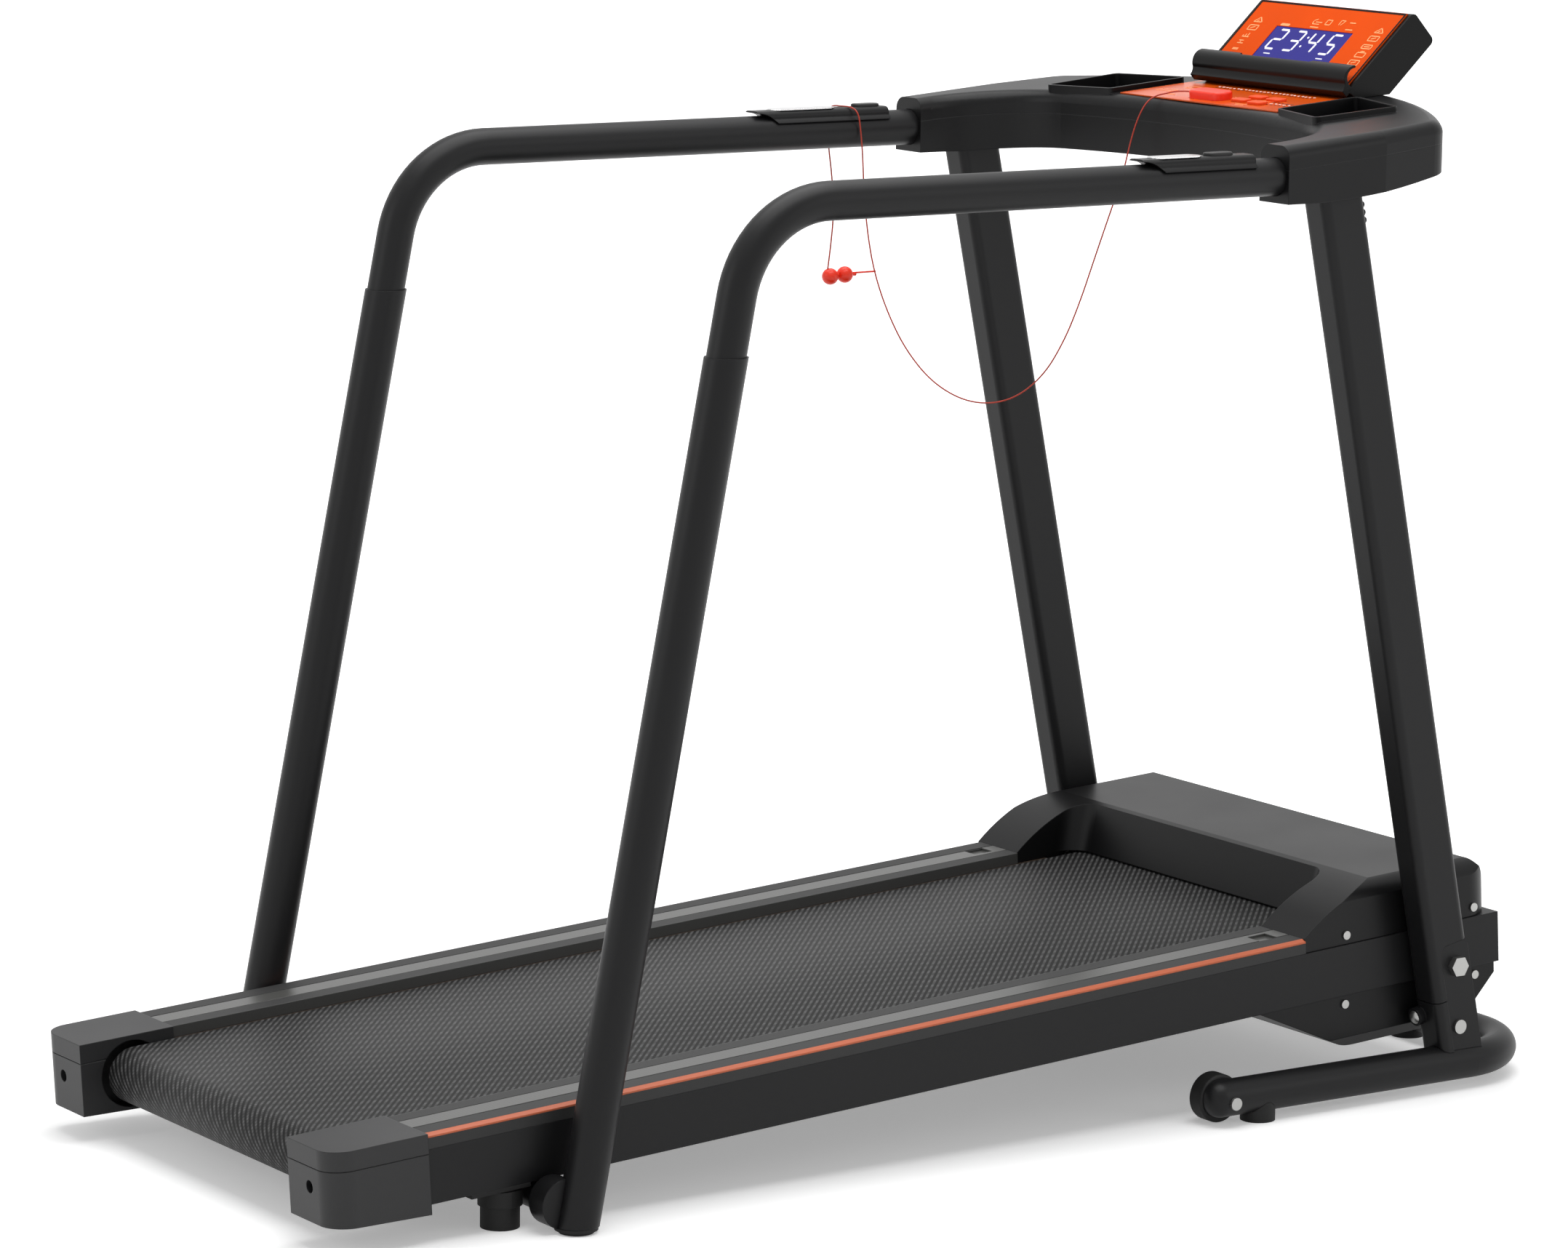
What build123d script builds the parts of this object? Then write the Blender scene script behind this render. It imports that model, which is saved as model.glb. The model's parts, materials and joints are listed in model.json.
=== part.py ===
from build123d import *
import math
import os

# Folding treadmill with two rear posts, in millimetres.
# Origin on the floor under the middle of the treadmill: +X to the runner's right, +Y to the console, +Z up.
# The front assembly keeps its place along Y; the deck's length moves the rear caps and the posts.

# ---------------------------------------------------------------- overall
FRAME_HALF_WIDTH = 288.8     # of the deck's side tubes, which everything beside them follows
FRAME_TUBE_WIDTH = 30.0
FRAME_FRONT = 1405.0         # length of the deck, along it
PIVOT_Y = 588.8              # deck pivot
PIVOT_Z = 133.0
PIVOT_SETBACK = 89.8         # from the front of the side tubes
PIVOT_HEIGHT = 49.7          # above the deck's own base plane
DECK_ORIGIN_Z = 0.4
REACH = 2000.0               # beyond every piece, for cutting blocks
SHAFT_CLEARANCE = 0.05       # radial, between a shaft and its bore
BODY_GAP = 0.3               # between curved faces that turn past each other

# ---------------------------------------------------------------- base
BASE_TUBE_RADIUS = 19.0
BASE_TUBE_WALL = 2.0
BASE_TUBE_SHIFT = 5.5        # outwards from the upright's axis
BASE_TUBE_Z = 27.4
BASE_REAR_Y = 293.0
BASE_BEND_RADIUS = 90.0
BASE_OVERHANG = 119.2        # of the floor tube's front run ahead of the pivot
BASE_FRONT_Y = PIVOT_Y + BASE_OVERHANG
FLOOR_FOOT_RADIUS = 18.0
FLOOR_FOOT_Y = 341.0
FRONT_FOOT_X = 110.0

WHEEL_RADIUS = 25.0
WHEEL_LIFT = 0.6             # the wheels only touch the floor when the frame is tipped back
WHEEL_Y = 297.0
WHEEL_SHIFT = 15.8           # inwards from the floor tube's axis
WHEEL_WIDTH = 21.0
WHEEL_AXLE_RADIUS = 4.0
WHEEL_SIDE_PLAY = 0.5
WHEEL_POCKET = 4.0           # room round the wheel in the cut-away tube end
WHEEL_GROOVE = (13.0, 18.0, 2.0)

# ---------------------------------------------------------------- uprights
UPRIGHT_LEAN = 11.94         # degrees rearwards
UPRIGHT_WIDTH = 38.0
UPRIGHT_GAP = 2.5            # beside the deck's side tube
UPRIGHT_X = FRAME_HALF_WIDTH + UPRIGHT_GAP + UPRIGHT_WIDTH / 2
UPRIGHT_Y = PIVOT_Y - 18.9   # of the axis, at the height below
UPRIGHT_Z = PIVOT_Z + 55.0
BASE_TUBE_X = UPRIGHT_X + BASE_TUBE_SHIFT
WHEEL_X = BASE_TUBE_X - WHEEL_SHIFT
UPRIGHT_DEPTH = 52.0
UPRIGHT_WALL = 2.0
UPRIGHT_CORNER = 9.0
UPRIGHT_TOP_DROP = 4.0       # of its top below the handrail's axis
UPRIGHT_BOTTOM = -90.0
NOTCH_TOP = -32.0
NOTCH_REAR = -12.0
NOTCH_CORNER = 9.0
BRACKET_WALL = 4.0
BRACKET_TOP = -33.0
BRACKET_BOTTOM = -170.0
BRACKET_FRONT = 26.0
BRACKET_CORNER = 8.0
RIVET_ALONG = -123.0
RIVET_RADIUS = 5.0
RIVET_HEAD_RADIUS = 7.5
RIVET_HEAD_HEIGHT = 3.0
LOCK_PIN_GAP = 0.5           # between the side tube and the left lock pin's tip when it is held out
LOCK_PIN_TRAVEL = 3.4
LOCK_PIN_HEAD = 8.5
LUG_THICKNESS = 3.2
LUG_SIZE = (30.0, 17.2)      # along the deck, and down from the side tube
DOME_RADIUS = 8.5
DOME_HEIGHT = 4.0
DOME_BOLT_Z = 83.0
DOME_BOLT_SHIFT = 11.5       # inwards from the upright's axis
DOME_SPACER = (9.8, 8.0)     # radius and length of the boss behind the domed head

# ---------------------------------------------------------------- deck pivot
PIVOT_RADIUS = 6.0
PIVOT_HEAD_RADIUS = 11.0
PIVOT_HEAD_HEIGHT = 7.5
FOLD_LOCK_ANGLE = 66.0       # degrees that the deck folds up to where the pin locks it

# ---------------------------------------------------------------- posts and handrails
POST_RADIUS = 21.0
POST_WALL = 1.8
POST_GAP = 9.0               # beside the deck's end cap
CAP_LIP = 2.4                # of the end cap beyond the side tube
CAP_OUTER_X = FRAME_HALF_WIDTH + CAP_LIP
POST_FOOT_X = CAP_OUTER_X + POST_GAP + POST_RADIUS
POST_FOOT_SHIFT = 249.2      # ahead of the deck's rear
POST_SEAM_Z = 820.0
POST_SEAM_X = POST_FOOT_X - 4.2
POST_SEAM_SHIFT = 161.7      # of the seam ahead of the foot
POST_FOOT_Z = 6.0
POST_PLUG_RADIUS = 17.0
POST_PLUG_FLANGE = 3.0
RAIL_RADIUS = 19.0
RAIL_WALL = 1.6
RAIL_Z = 961.0
RAIL_X = POST_FOOT_X + (POST_SEAM_X - POST_FOOT_X) * RAIL_Z / POST_SEAM_Z
RAIL_BEND_RADIUS = 105.0
RAIL_FRONT_Y = 374.0
RAIL_INSERT = 60.0           # length of the handrail inside the post
CROSS_TUBE_RADIUS = 15.0
CROSS_TUBE_SHIFT = 13.2      # behind the posts' feet
CROSS_TUBE_Z = 28.0
CROSS_DISC_RADIUS = 24.0
CROSS_DISC_X = CAP_OUTER_X + 4.8

# ---------------------------------------------------------------- deck, along Y and above Z of its own frame
CAP_TOP = 100.4
CAP_INNER_GAP = 3.2          # beside the running belt
CAP_FRONT = 105.0
CAP_LOW_REAR = 26.8
CAP_LOW_FRONT = 22.0
CAP_CORNER = 26.0
CAP_SEAM = 19.0
CAP_SEAM_WIDTH = 1.0
CAP_POCKET_RADIUS = 34.0
CAP_POCKET_DEPTH = 26.0
CAP_HOLE_X = FRAME_HALF_WIDTH - FRAME_TUBE_WIDTH - 9.8
CAP_HOLE_RADIUS = 6.2

FRAME_LOW = 31.2
FRAME_HIGH = 84.6
FRAME_REAR = 20.0
FRAME_WALL = 2.0
CROSS_MEMBER_DEPTH = 40.0
CROSS_MEMBER_LOW = 45.0
CROSS_MEMBER_FIRST = 250.0
CROSS_MEMBER_COUNT = 3
CROSS_MEMBER_LAST_GAP = 182.0      # behind the front roller
MOTOR_PLATE_THICKNESS = 4.0
MOTOR_PLATE_LENGTH = 104.0
MOTOR_PLATE_NOTCH = 40.0     # round the roller's pulley

ROLLER_RADIUS = 26.3
ROLLER_HEIGHT = 61.2
REAR_ROLLER = 56.6
FRONT_ROLLER_SETBACK = 173.0
FRONT_ROLLER = FRAME_FRONT - FRONT_ROLLER_SETBACK
BELT_SIDE_ROOM = 52.3        # between the running belt and the side tube
BELT_HALF_WIDTH = FRAME_HALF_WIDTH - FRAME_TUBE_WIDTH - BELT_SIDE_ROOM
CAP_INNER_X = BELT_HALF_WIDTH + CAP_INNER_GAP
ROLLER_HALF_LENGTH = BELT_HALF_WIDTH + 0.5
ROLLER_WALL = 3.0
ROLLER_END = 14.0
ROLLER_SHAFT_RADIUS = 8.0
BELT_THICKNESS = 1.7
BOARD_THICKNESS = 18.0
BOARD_HALF_WIDTH = FRAME_HALF_WIDTH - FRAME_TUBE_WIDTH - 3.8
BOARD_REAR = CAP_FRONT + 2.0
BOARD_FRONT = FRONT_ROLLER - 44.0

RAIL_TOP = 99.6              # foot rail
RAIL_INNER_X = BELT_HALF_WIDTH + 7.0
RAIL_SETBACK = 256.0         # behind the front of the side tubes
RAIL_FRONT = FRAME_FRONT - RAIL_SETBACK
TRIM_OUTER_X = FRAME_HALF_WIDTH - 0.2
TRIM_WIDTH = 5.6
RAIL_OUTER_X = TRIM_OUTER_X - TRIM_WIDTH
TRIM_DROP = 2.4
TRIM_THICKNESS = 1.6
RAIL_GROOVES = (19.5, 46.5)  # from the rail's inner edge
RAIL_GROOVE_WIDTH = 1.6
RAIL_GROOVE_DEPTH = 0.8
RECESS_SHIFT = 26.5          # from the rail's inner edge
RECESS_SIZE = (20.0, 23.0)   # across and along the rail
RECESS_SETBACK = 15.0        # from the hood
RECESS_DEPTH = 3.0

HOOD_TOP = 144.0
HOOD_HALF_WIDTH = FRAME_HALF_WIDTH - 1.8
HOOD_TOP_HALF_WIDTH = HOOD_HALF_WIDTH - 31.0
HOOD_SHOULDER = 125.5
HOOD_SHOULDER_REACH = 2.0    # how far outside the hood's side its shoulder's curve starts
HOOD_SHOULDER_MID = (9.5, 139.8)   # in from the side, and the height, on the rounded shoulder
HOOD_FRONT_LOW = FRAME_FRONT - 2.0
HOOD_FRONT_MID = HOOD_FRONT_LOW - 8.0
HOOD_FRONT_MID_HEIGHT = 124.0
HOOD_FRONT_TOP = HOOD_FRONT_LOW - 23.0
HOOD_BODY_LENGTH = 177.0     # at its foot, ahead of the bay over the belt
HOOD_REAR_LOW = HOOD_FRONT_LOW - HOOD_BODY_LENGTH
HOOD_REAR_LEAN = 15.0        # degrees
HOOD_ARM_INNER = BELT_HALF_WIDTH + 8.5
HOOD_ARM_CORNER = 26.0       # where the arms meet the rear face
HOOD_ARM_MID = (45.0, 127.5)       # ahead of the rail's end, and the height, on the arm's curve
HOOD_ARM_END = 100.0         # ahead of the rail's end, where the curve meets the top
HOOD_WALL = 3.0
HOOD_FRONT_CORNER = 34.0
HOOD_BELT_GAP = 2.0
HOOD_EDGE = 7.0
PAN_HALF_WIDTH = FRAME_HALF_WIDTH - 4.4
PAN_LENGTH = 315.0
PAN_KEEL_SPAN = (195.0, 51.0)      # behind the hood's front
PAN_REAR = HOOD_FRONT_LOW - PAN_LENGTH
PAN_KEEL_REAR = HOOD_FRONT_LOW - PAN_KEEL_SPAN[0]
PAN_KEEL_FRONT = HOOD_FRONT_LOW - PAN_KEEL_SPAN[1]
PAN_LOW = -28.9
PAN_WALL = 2.5
PAN_CORNER = 14.0
PAN_KEEL_RADIUS = 60.0
SCREW_HEAD_RADIUS = 4.6
SCREW_HEAD_HEIGHT = 2.0
HOOD_SCREWS = (200.0, 30.0)        # behind the hood's front
HOOD_SCREW_HEIGHT = 94.5
PAN_SCREWS = (202.0, 28.0)
PAN_SCREW_HEIGHT = 21.0
PAN_SCREW_SHIFT = 36.0       # of the left front pan screw, clear of the lock lug

DECK_FOOT_X = FRAME_HALF_WIDTH - 21.8
DECK_FOOT_SHIFT = 198.0      # ahead of the deck's rear
DECK_FOOT_RADIUS = 19.0
DECK_FOOT_COLLAR_RADIUS = 21.5
DECK_FOOT_COLLAR_LOW = 22.0
DECK_FOOT_COLLAR_HIGH = 38.0
DECK_FOOT_PLATE = 4.0
DECK_FOOT_PLATE_REAR = 44.0
DECK_FOOT_PLATE_FRONT = 21.0

MOTOR_SETBACK = 95.0
MOTOR_ALONG = FRAME_FRONT - MOTOR_SETBACK
MOTOR_PLATE_REAR = MOTOR_ALONG - 46.0
MOTOR_RADIUS = 44.0
MOTOR_LEFT = -130.0
MOTOR_RIGHT = 70.0
MOTOR_SHAFT_RADIUS = 6.0
MOTOR_FOOT_WIDTH = 60.0
FLYWHEEL_RADIUS = 42.0
FLYWHEEL_LEFT = -160.0
FLYWHEEL_RIGHT = -138.0
PULLEY_GAP = 14.8            # beside the left side tube
PULLEY_WIDTH = 24.0
PULLEY_LEFT = PULLEY_GAP + FRAME_TUBE_WIDTH - FRAME_HALF_WIDTH
PULLEY_RIGHT = PULLEY_LEFT + PULLEY_WIDTH
MOTOR_PULLEY_RADIUS = 18.0
ROLLER_PULLEY_RADIUS = 40.0
DRIVE_BELT_THICKNESS = 2.2
DRIVE_BELT_EDGE = 2.0
CONTROLLER_SIZE = (110.0, 90.0, 42.0)
CONTROLLER_GAP = 43.8        # beside the right side tube
CONTROLLER_X = FRAME_HALF_WIDTH - FRAME_TUBE_WIDTH - CONTROLLER_GAP - CONTROLLER_SIZE[0] / 2
CONTROLLER_ALONG = FRAME_FRONT - 90.0
INLET_X = -170.0
INLET_SIZE = (48.0, 26.0)
INLET_DEPTH = 22.0
INLET_PROUD = 2.0
SWITCH_X = -110.0
SWITCH_SIZE = (28.0, 20.0)
SWITCH_ROCK_RADIUS = 11.0
PANEL_HEIGHT = 60.0          # of the inlet and the switch

# ---------------------------------------------------------------- console
CONSOLE_TOP_ANGLE = 4.84
SLEEVE_REAR_Y = RAIL_FRONT_Y - 42.5
SLEEVE_TOP_Z = RAIL_Z + 31.6
SLEEVE_LOW_Z = RAIL_Z - 26.0
SLEEVE_WALL = 4.2            # beside the handrail
SLEEVE_INNER_X = RAIL_X - RAIL_RADIUS - SLEEVE_WALL
SLEEVE_OUTER_X = RAIL_X + RAIL_RADIUS + SLEEVE_WALL
SLEEVE_LENGTH = 13.5         # inner side, to the start of the console's curve
CONSOLE_SEAM_DROP = 24.0     # of the joint between the two shells, below the top
CONSOLE_WALL = 3.0
CONSOLE_EDGE = 13.0          # radius of the upper edge
CONSOLE_WAIST = (266.0, 418.0)     # on the curve from the sleeve to the rear edge
CONSOLE_REAR_X = 205.0
CONSOLE_REAR_Y = 453.0
CONSOLE_REAR_SAG = 18.0      # of the rear edge, ahead at its middle
CONSOLE_SIDE_Y = 455.0
CONSOLE_FRONT_Y = 652.0
CONSOLE_CORNER_X = SLEEVE_OUTER_X - 12.5
CONSOLE_CORNER_Y = 538.0
CONSOLE_CORNER_RADIUS = 30.0
CONSOLE_UNDER_MID = (500.0, 14.0)  # on the curved underside, with its rise over the sleeves
CONSOLE_UNDER_FRONT = 51.0
SLEEVE_BORE_CLEARANCE = 0.15
UPRIGHT_POCKET_CLEARANCE = 0.2
TRAY_RIM = 6.0
TRAY_WALL = 3.0
TRAY_DEPTH = 22.0
TRAY_CORNER_RADIUS = 7.0
TRAY_CORNERS = ((231.0, 450.0), (142.0, 471.0), (143.5, 576.0), (239.0, 552.0))
PANEL_HALF_WIDTH = 134.0
PANEL_REAR_Y = 478.0
PANEL_LENGTH = 107.5
PANEL_FRONT_Y = PANEL_REAR_Y + PANEL_LENGTH
PANEL_THICKNESS = 1.5
KEY_SIZE = (22.0, 13.0)
KEY_HEIGHT = 3.2
KEY_TRAVEL = 1.0
KEY_GAP = 0.3
KEY_STEM_RADIUS = 2.5
KEY_STEM_LENGTH = 9.0
CONSOLE_KEYS = {             # X, and ahead of the panel's rear edge
    "key_start": (40.0, 27.0),
    "key_stop": (72.0, 23.0),
    "key_faster": (40.0, 50.0),
    "key_slower": (72.0, 48.0),
}
SAFETY_KEY_X = -9.0
SAFETY_KEY_Y = PANEL_REAR_Y + 25.0
SAFETY_KEY_CORNER = 11.0
SAFETY_KEY_EDGE = 2.5
SAFETY_KEY_LENGTH = 56.0
SAFETY_KEY_WIDTH = 25.0
SAFETY_KEY_HEIGHT = 9.5
SAFETY_POCKET_DEPTH = 0.9
BOARD_SIZE = (180.0, 70.0, 1.6)
BOARD_DROP = 12.0            # of the circuit board below the top of the console
BOARD_Y = 524.0
BOARD_POST_RADIUS = 3.0

FACE_ANGLE = 42.8
FACE_LENGTH = 118.0
FACE_RISE = 9.5              # of the face's lower edge above the console's top
MONITOR_NOSE = 14.0          # of the monitor's foot ahead of the face's lower edge
MONITOR_GAP = 4.3            # between the monitor's foot and the control panel
MONITOR_HALF_WIDTH = 126.3
MONITOR_DEPTH = 42.0
MONITOR_WALL = 3.0
MONITOR_CORNER = 6.0
FASCIA_MARGIN = 5.0
FASCIA_THICKNESS = 1.5
DISPLAY_HALF_WIDTH = 64.0
DISPLAY_TOP = 78.5           # up the face from its lower edge
DISPLAY_LOW = 26.0
DISPLAY_THICKNESS = 1.0
LEDGE_HALF_WIDTH = 129.0
LEDGE_HIGH = 24.0
LEDGE_PROUD = 18.0
LEDGE_NOTCH_HALF_WIDTH = 58.0
LEDGE_NOTCH_DEPTH = 4.0
LEDGE_WALL = 3.2

# ---------------------------------------------------------------- grips on the handrails
PAD_SKIN = 2.2               # of the pad over the handrail
PAD_LOW_Z = RAIL_Z + 11.5
PAD_TOP_Z = RAIL_Z + 24.4
PAD_TOP_HALF_WIDTH = 14.0
PAD_CORNER = 7.0
PAD_RAMP = 24.0              # length of the rear end, which rises like a bow
PAD_RIGHT = (160.0, 297.0)
PAD_LEFT = (129.0, 296.0)
PLATE_RIGHT = (176.0, 236.0)
PLATE_LEFT = (150.0, 232.0)
PLATE_THICKNESS = 1.2
PLATE_HALF_WIDTH = 11.0
PLATE_CORNER = 10.0
GRIP_KEY_RIGHT_Y = 260.0
GRIP_KEY_LEFT_Y = 274.0
GRIP_KEY_LENGTH = 33.0
GRIP_KEY_WIDTH = 15.0
GRIP_KEY_PROUD = 3.0
GRIP_KEY_DEPTH = 5.0
GRIP_KEY_TRAVEL = 1.2

CLIP_Z = SLEEVE_LOW_Z - 16.0       # of the cable clip near the top of the right upright
CLIP_SIZE = (9.0, 5.0, 24.0)
CLIP_TEETH = 3
CLIP_TOOTH_RADIUS = 3.6

# ---------------------------------------------------------------- safety cord
CORD_RADIUS = 0.8
CORD_ARC_SHARE = 0.45
CLIP_BALL_RADIUS = 9.0
CLIP_BALL_DROP = 7.0         # of the knobs below the cord's end
CLIP_KNOBS = (3.5, 22.5)     # ahead of the cord's end
CLIP_JAW_RISE = 1.1
CLIP_BAR_RADIUS = 2.0
CLIP_BAR_REACH = 36.5
CLIP_PIN_RADIUS = 1.0
CLIP_PIN_REACH = 62.5
CLIP_PIN_RISE = 1.4
CORD_ROUTE = [
    (-37, 503, 1013),
    (-49, 503, 1013),
    (-60, 496, 1012.4),
    (-64, 484, 1010),
    (-65, 472, 1008),
    (-67, 462, 1001.5),
    (-71, 455, 986),
    (-76, 450, 963),
    (-82, 443, 919),
    (-93, 434, 876),
    (-104, 425, 832),
    (-114, 416, 789),
    (-126, 405, 746),
    (-143, 390, 706),
    (-169, 367, 678),
    (-202, 339, 673),
    (-233, 312, 692),
    (-256, 291, 727),
    (-272, 277, 767),
    (-284, 267, 810),
    (-291, 262, 854),
    (-294, 259, 899),
    (-294.4, 257, 938),
    (-294.6, 254, 964),
    (-295.5, 251.5, 981),
    (-303.5, 248, 986.5),
    (-316.2, 244, 986.5),
    (-329, 241, 986.5),
    (-337, 240, 981),
    (-338, 240.5, 966),
    (-338, 242.5, 942),
    (-338, 248, 907),
    (-338, 250.5, 872),
    (-338, 248, 840),
    (-338, 243.5, 808.5),
]


# ---------------------------------------------------------------- helpers
def block(x_low, x_high, y_low, y_high, z_low, z_high):
    """Box between the given planes."""
    size = (x_high - x_low, y_high - y_low, z_high - z_low)
    centre = ((x_low + x_high) / 2, (y_low + y_high) / 2, (z_low + z_high) / 2)
    return Pos(*centre) * Box(*size)


def rod_x(radius, x_low, x_high, y, z):
    """Round bar along X."""
    return Pos((x_low + x_high) / 2, y, z) * Rot(0, 90, 0) * Cylinder(radius, x_high - x_low)


def rod_y(radius, y_low, y_high, x, z):
    """Round bar along Y."""
    return Pos(x, (y_low + y_high) / 2, z) * Rot(90, 0, 0) * Cylinder(radius, y_high - y_low)


def rod_z(radius, z_low, z_high, x, y):
    """Round bar along Z."""
    return Pos(x, y, (z_low + z_high) / 2) * Cylinder(radius, z_high - z_low)


def side_profile(points, x_low, x_high):
    """Solid with an outline in Y and Z, between two X positions."""
    outline = Plane.YZ * make_face(Polyline(*points, close=True))
    return Pos(x_low, 0, 0) * extrude(outline, x_high - x_low)


def cross_section(points, y_low, y_high):
    """Solid with an outline in X and Z, between two Y positions."""
    outline = Plane.XZ * make_face(Polyline(*points, close=True))
    return Pos(0, y_high, 0) * extrude(outline, y_high - y_low)


def mirrored(shape):
    """The same piece on the other side."""
    return mirror(shape, about=Plane.YZ)


def pair(shape):
    """The piece and its mirror image, as separate solids."""
    return Compound(children=[shape, mirrored(shape)])


def bent_bar(points, radii, radius):
    """Round bar along straight runs joined by tangent bends."""
    path = FilletPolyline(*points, radius=radii)
    return sweep(Plane(origin=path @ 0, z_dir=path % 0) * Circle(radius), path=path)


def belt_outline(first, first_radius, second, second_radius):
    """Face round two circles and between their outer tangents, in Y and Z."""
    run = math.dist(first, second)
    heading = math.atan2(second[1] - first[1], second[0] - first[0])
    swing = math.acos((first_radius - second_radius) / run)
    corners = []
    for centre, radius, side in ((first, first_radius, 1), (second, second_radius, 1),
                                 (second, second_radius, -1), (first, first_radius, -1)):
        turn = heading + side * swing
        corners.append((centre[0] + radius * math.cos(turn), centre[1] + radius * math.sin(turn)))
    web = make_face(Polyline(*corners, close=True))
    return web + Pos(*first) * Circle(first_radius) + Pos(*second) * Circle(second_radius)


def belt_loop(first, first_radius, second, second_radius, thickness, x_low, x_high):
    """Flat belt round two rollers along X; the radii are those of its inner face."""
    outer = belt_outline(first, first_radius + thickness, second, second_radius + thickness)
    inner = belt_outline(first, first_radius, second, second_radius)
    return Pos(x_low, 0, 0) * extrude(Plane.YZ * (outer - inner), x_high - x_low)


# ---------------------------------------------------------------- frames of reference
PIVOT = (FRAME_FRONT - PIVOT_SETBACK, PIVOT_HEIGHT)
DECK_CLIMB = math.asin((PIVOT_Z - DECK_ORIGIN_Z) / math.hypot(*PIVOT)) - math.atan2(PIVOT[1], PIVOT[0])
DECK_ANGLE = math.degrees(DECK_CLIMB)
DECK_SIN = math.sin(DECK_CLIMB)
DECK_COS = math.cos(DECK_CLIMB)
DECK_ORIGIN_Y = PIVOT_Y - PIVOT[0] * DECK_COS + PIVOT[1] * DECK_SIN
DECK_REAR_Y = DECK_ORIGIN_Y - CAP_TOP * DECK_SIN
POST_FOOT_Y = DECK_REAR_Y + POST_FOOT_SHIFT
POST_SEAM_Y = POST_FOOT_Y + POST_SEAM_SHIFT
CROSS_TUBE_Y = POST_FOOT_Y - CROSS_TUBE_SHIFT
DECK_FOOT_Y = DECK_REAR_Y + DECK_FOOT_SHIFT
DECK_PLACE = Pos(0, DECK_ORIGIN_Y, DECK_ORIGIN_Z) * Rot(DECK_ANGLE, 0, 0)
UPRIGHT_PLACE = Pos(UPRIGHT_X, UPRIGHT_Y, UPRIGHT_Z) * Rot(UPRIGHT_LEAN, 0, 0)
TOP_PLACE = Pos(0, SLEEVE_REAR_Y, SLEEVE_TOP_Z) * Rot(CONSOLE_TOP_ANGLE, 0, 0)
FACE_LOW_Y = PANEL_FRONT_Y + MONITOR_GAP - MONITOR_NOSE
FACE_LOW_Z = (
    SLEEVE_TOP_Z + (FACE_LOW_Y - SLEEVE_REAR_Y) * math.tan(math.radians(CONSOLE_TOP_ANGLE)) + FACE_RISE
)
FACE_PLACE = Pos(0, FACE_LOW_Y, FACE_LOW_Z) * Rot(FACE_ANGLE, 0, 0)


def deck_point(y, z):
    """Place in the deck's own frame of a point given in Y and Z."""
    along = (y - DECK_ORIGIN_Y) * DECK_COS + (z - DECK_ORIGIN_Z) * DECK_SIN
    above = (z - DECK_ORIGIN_Z) * DECK_COS - (y - DECK_ORIGIN_Y) * DECK_SIN
    return along, above


def on_top(y):
    """Distance up the console's sloping top of a point given in Y."""
    return (y - SLEEVE_REAR_Y) / math.cos(math.radians(CONSOLE_TOP_ANGLE))



# ---------------------------------------------------------------- base
def floor_tube_solid(radius):
    """Round bar along the U-shaped floor tube's axis."""
    points = [
        (-BASE_TUBE_X, BASE_REAR_Y, BASE_TUBE_Z),
        (-BASE_TUBE_X, BASE_FRONT_Y, BASE_TUBE_Z),
        (BASE_TUBE_X, BASE_FRONT_Y, BASE_TUBE_Z),
        (BASE_TUBE_X, BASE_REAR_Y, BASE_TUBE_Z),
    ]
    return bent_bar(points, [BASE_BEND_RADIUS] * 2, radius)


def base_tube():
    """U-shaped floor tube with plugged, rounded rear ends, cut away inside for the wheels."""
    tube = floor_tube_solid(BASE_TUBE_RADIUS) - floor_tube_solid(BASE_TUBE_RADIUS - BASE_TUBE_WALL)
    pocket_outer = WHEEL_X + WHEEL_WIDTH / 2 + WHEEL_SIDE_PLAY
    pocket_front = WHEEL_Y + WHEEL_RADIUS + WHEEL_POCKET
    end_rear = BASE_REAR_Y - BASE_TUBE_RADIUS
    tube -= block(-REACH, REACH, 0, pocket_front, -1, REACH)
    plug = rod_y(BASE_TUBE_RADIUS, end_rear, pocket_front, BASE_TUBE_X, BASE_TUBE_Z)
    rear_edge = plug.edges().filter_by(GeomType.CIRCLE).sort_by(Axis.Y)[0]
    plug = fillet(rear_edge, BASE_TUBE_RADIUS - BASE_TUBE_WALL)
    plug -= block(0, pocket_outer, end_rear - 1, pocket_front + 1, -1, REACH)
    plug -= rod_x(WHEEL_AXLE_RADIUS, pocket_outer - 1, REACH, WHEEL_Y, WHEEL_RADIUS + WHEEL_LIFT)
    return tube + plug + mirrored(plug)


def rubber_feet():
    """Round rubber feet under the floor tube and plugs in the lower ends of the posts."""
    side_foot = rod_z(FLOOR_FOOT_RADIUS, 0, BASE_TUBE_Z, BASE_TUBE_X, FLOOR_FOOT_Y)
    side_foot -= rod_y(BASE_TUBE_RADIUS, BASE_REAR_Y, BASE_FRONT_Y, BASE_TUBE_X, BASE_TUBE_Z)
    front_foot = rod_z(FLOOR_FOOT_RADIUS, 0, BASE_TUBE_Z, FRONT_FOOT_X, BASE_FRONT_Y)
    front_foot -= rod_x(BASE_TUBE_RADIUS, 0, BASE_TUBE_X, BASE_FRONT_Y, BASE_TUBE_Z)
    flange_low = POST_FOOT_Z - POST_PLUG_FLANGE
    plug = rod_z(POST_PLUG_RADIUS, 0, POST_FOOT_Z, POST_FOOT_X, POST_FOOT_Y)
    plug += rod_z(POST_RADIUS, flange_low, POST_FOOT_Z, POST_FOOT_X, POST_FOOT_Y)
    feet = []
    for foot in (side_foot, front_foot, plug):
        largest = foot.solids().sort_by(SortBy.VOLUME)[-1]
        feet += [largest, mirrored(largest)]
    return Compound(children=feet)


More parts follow.
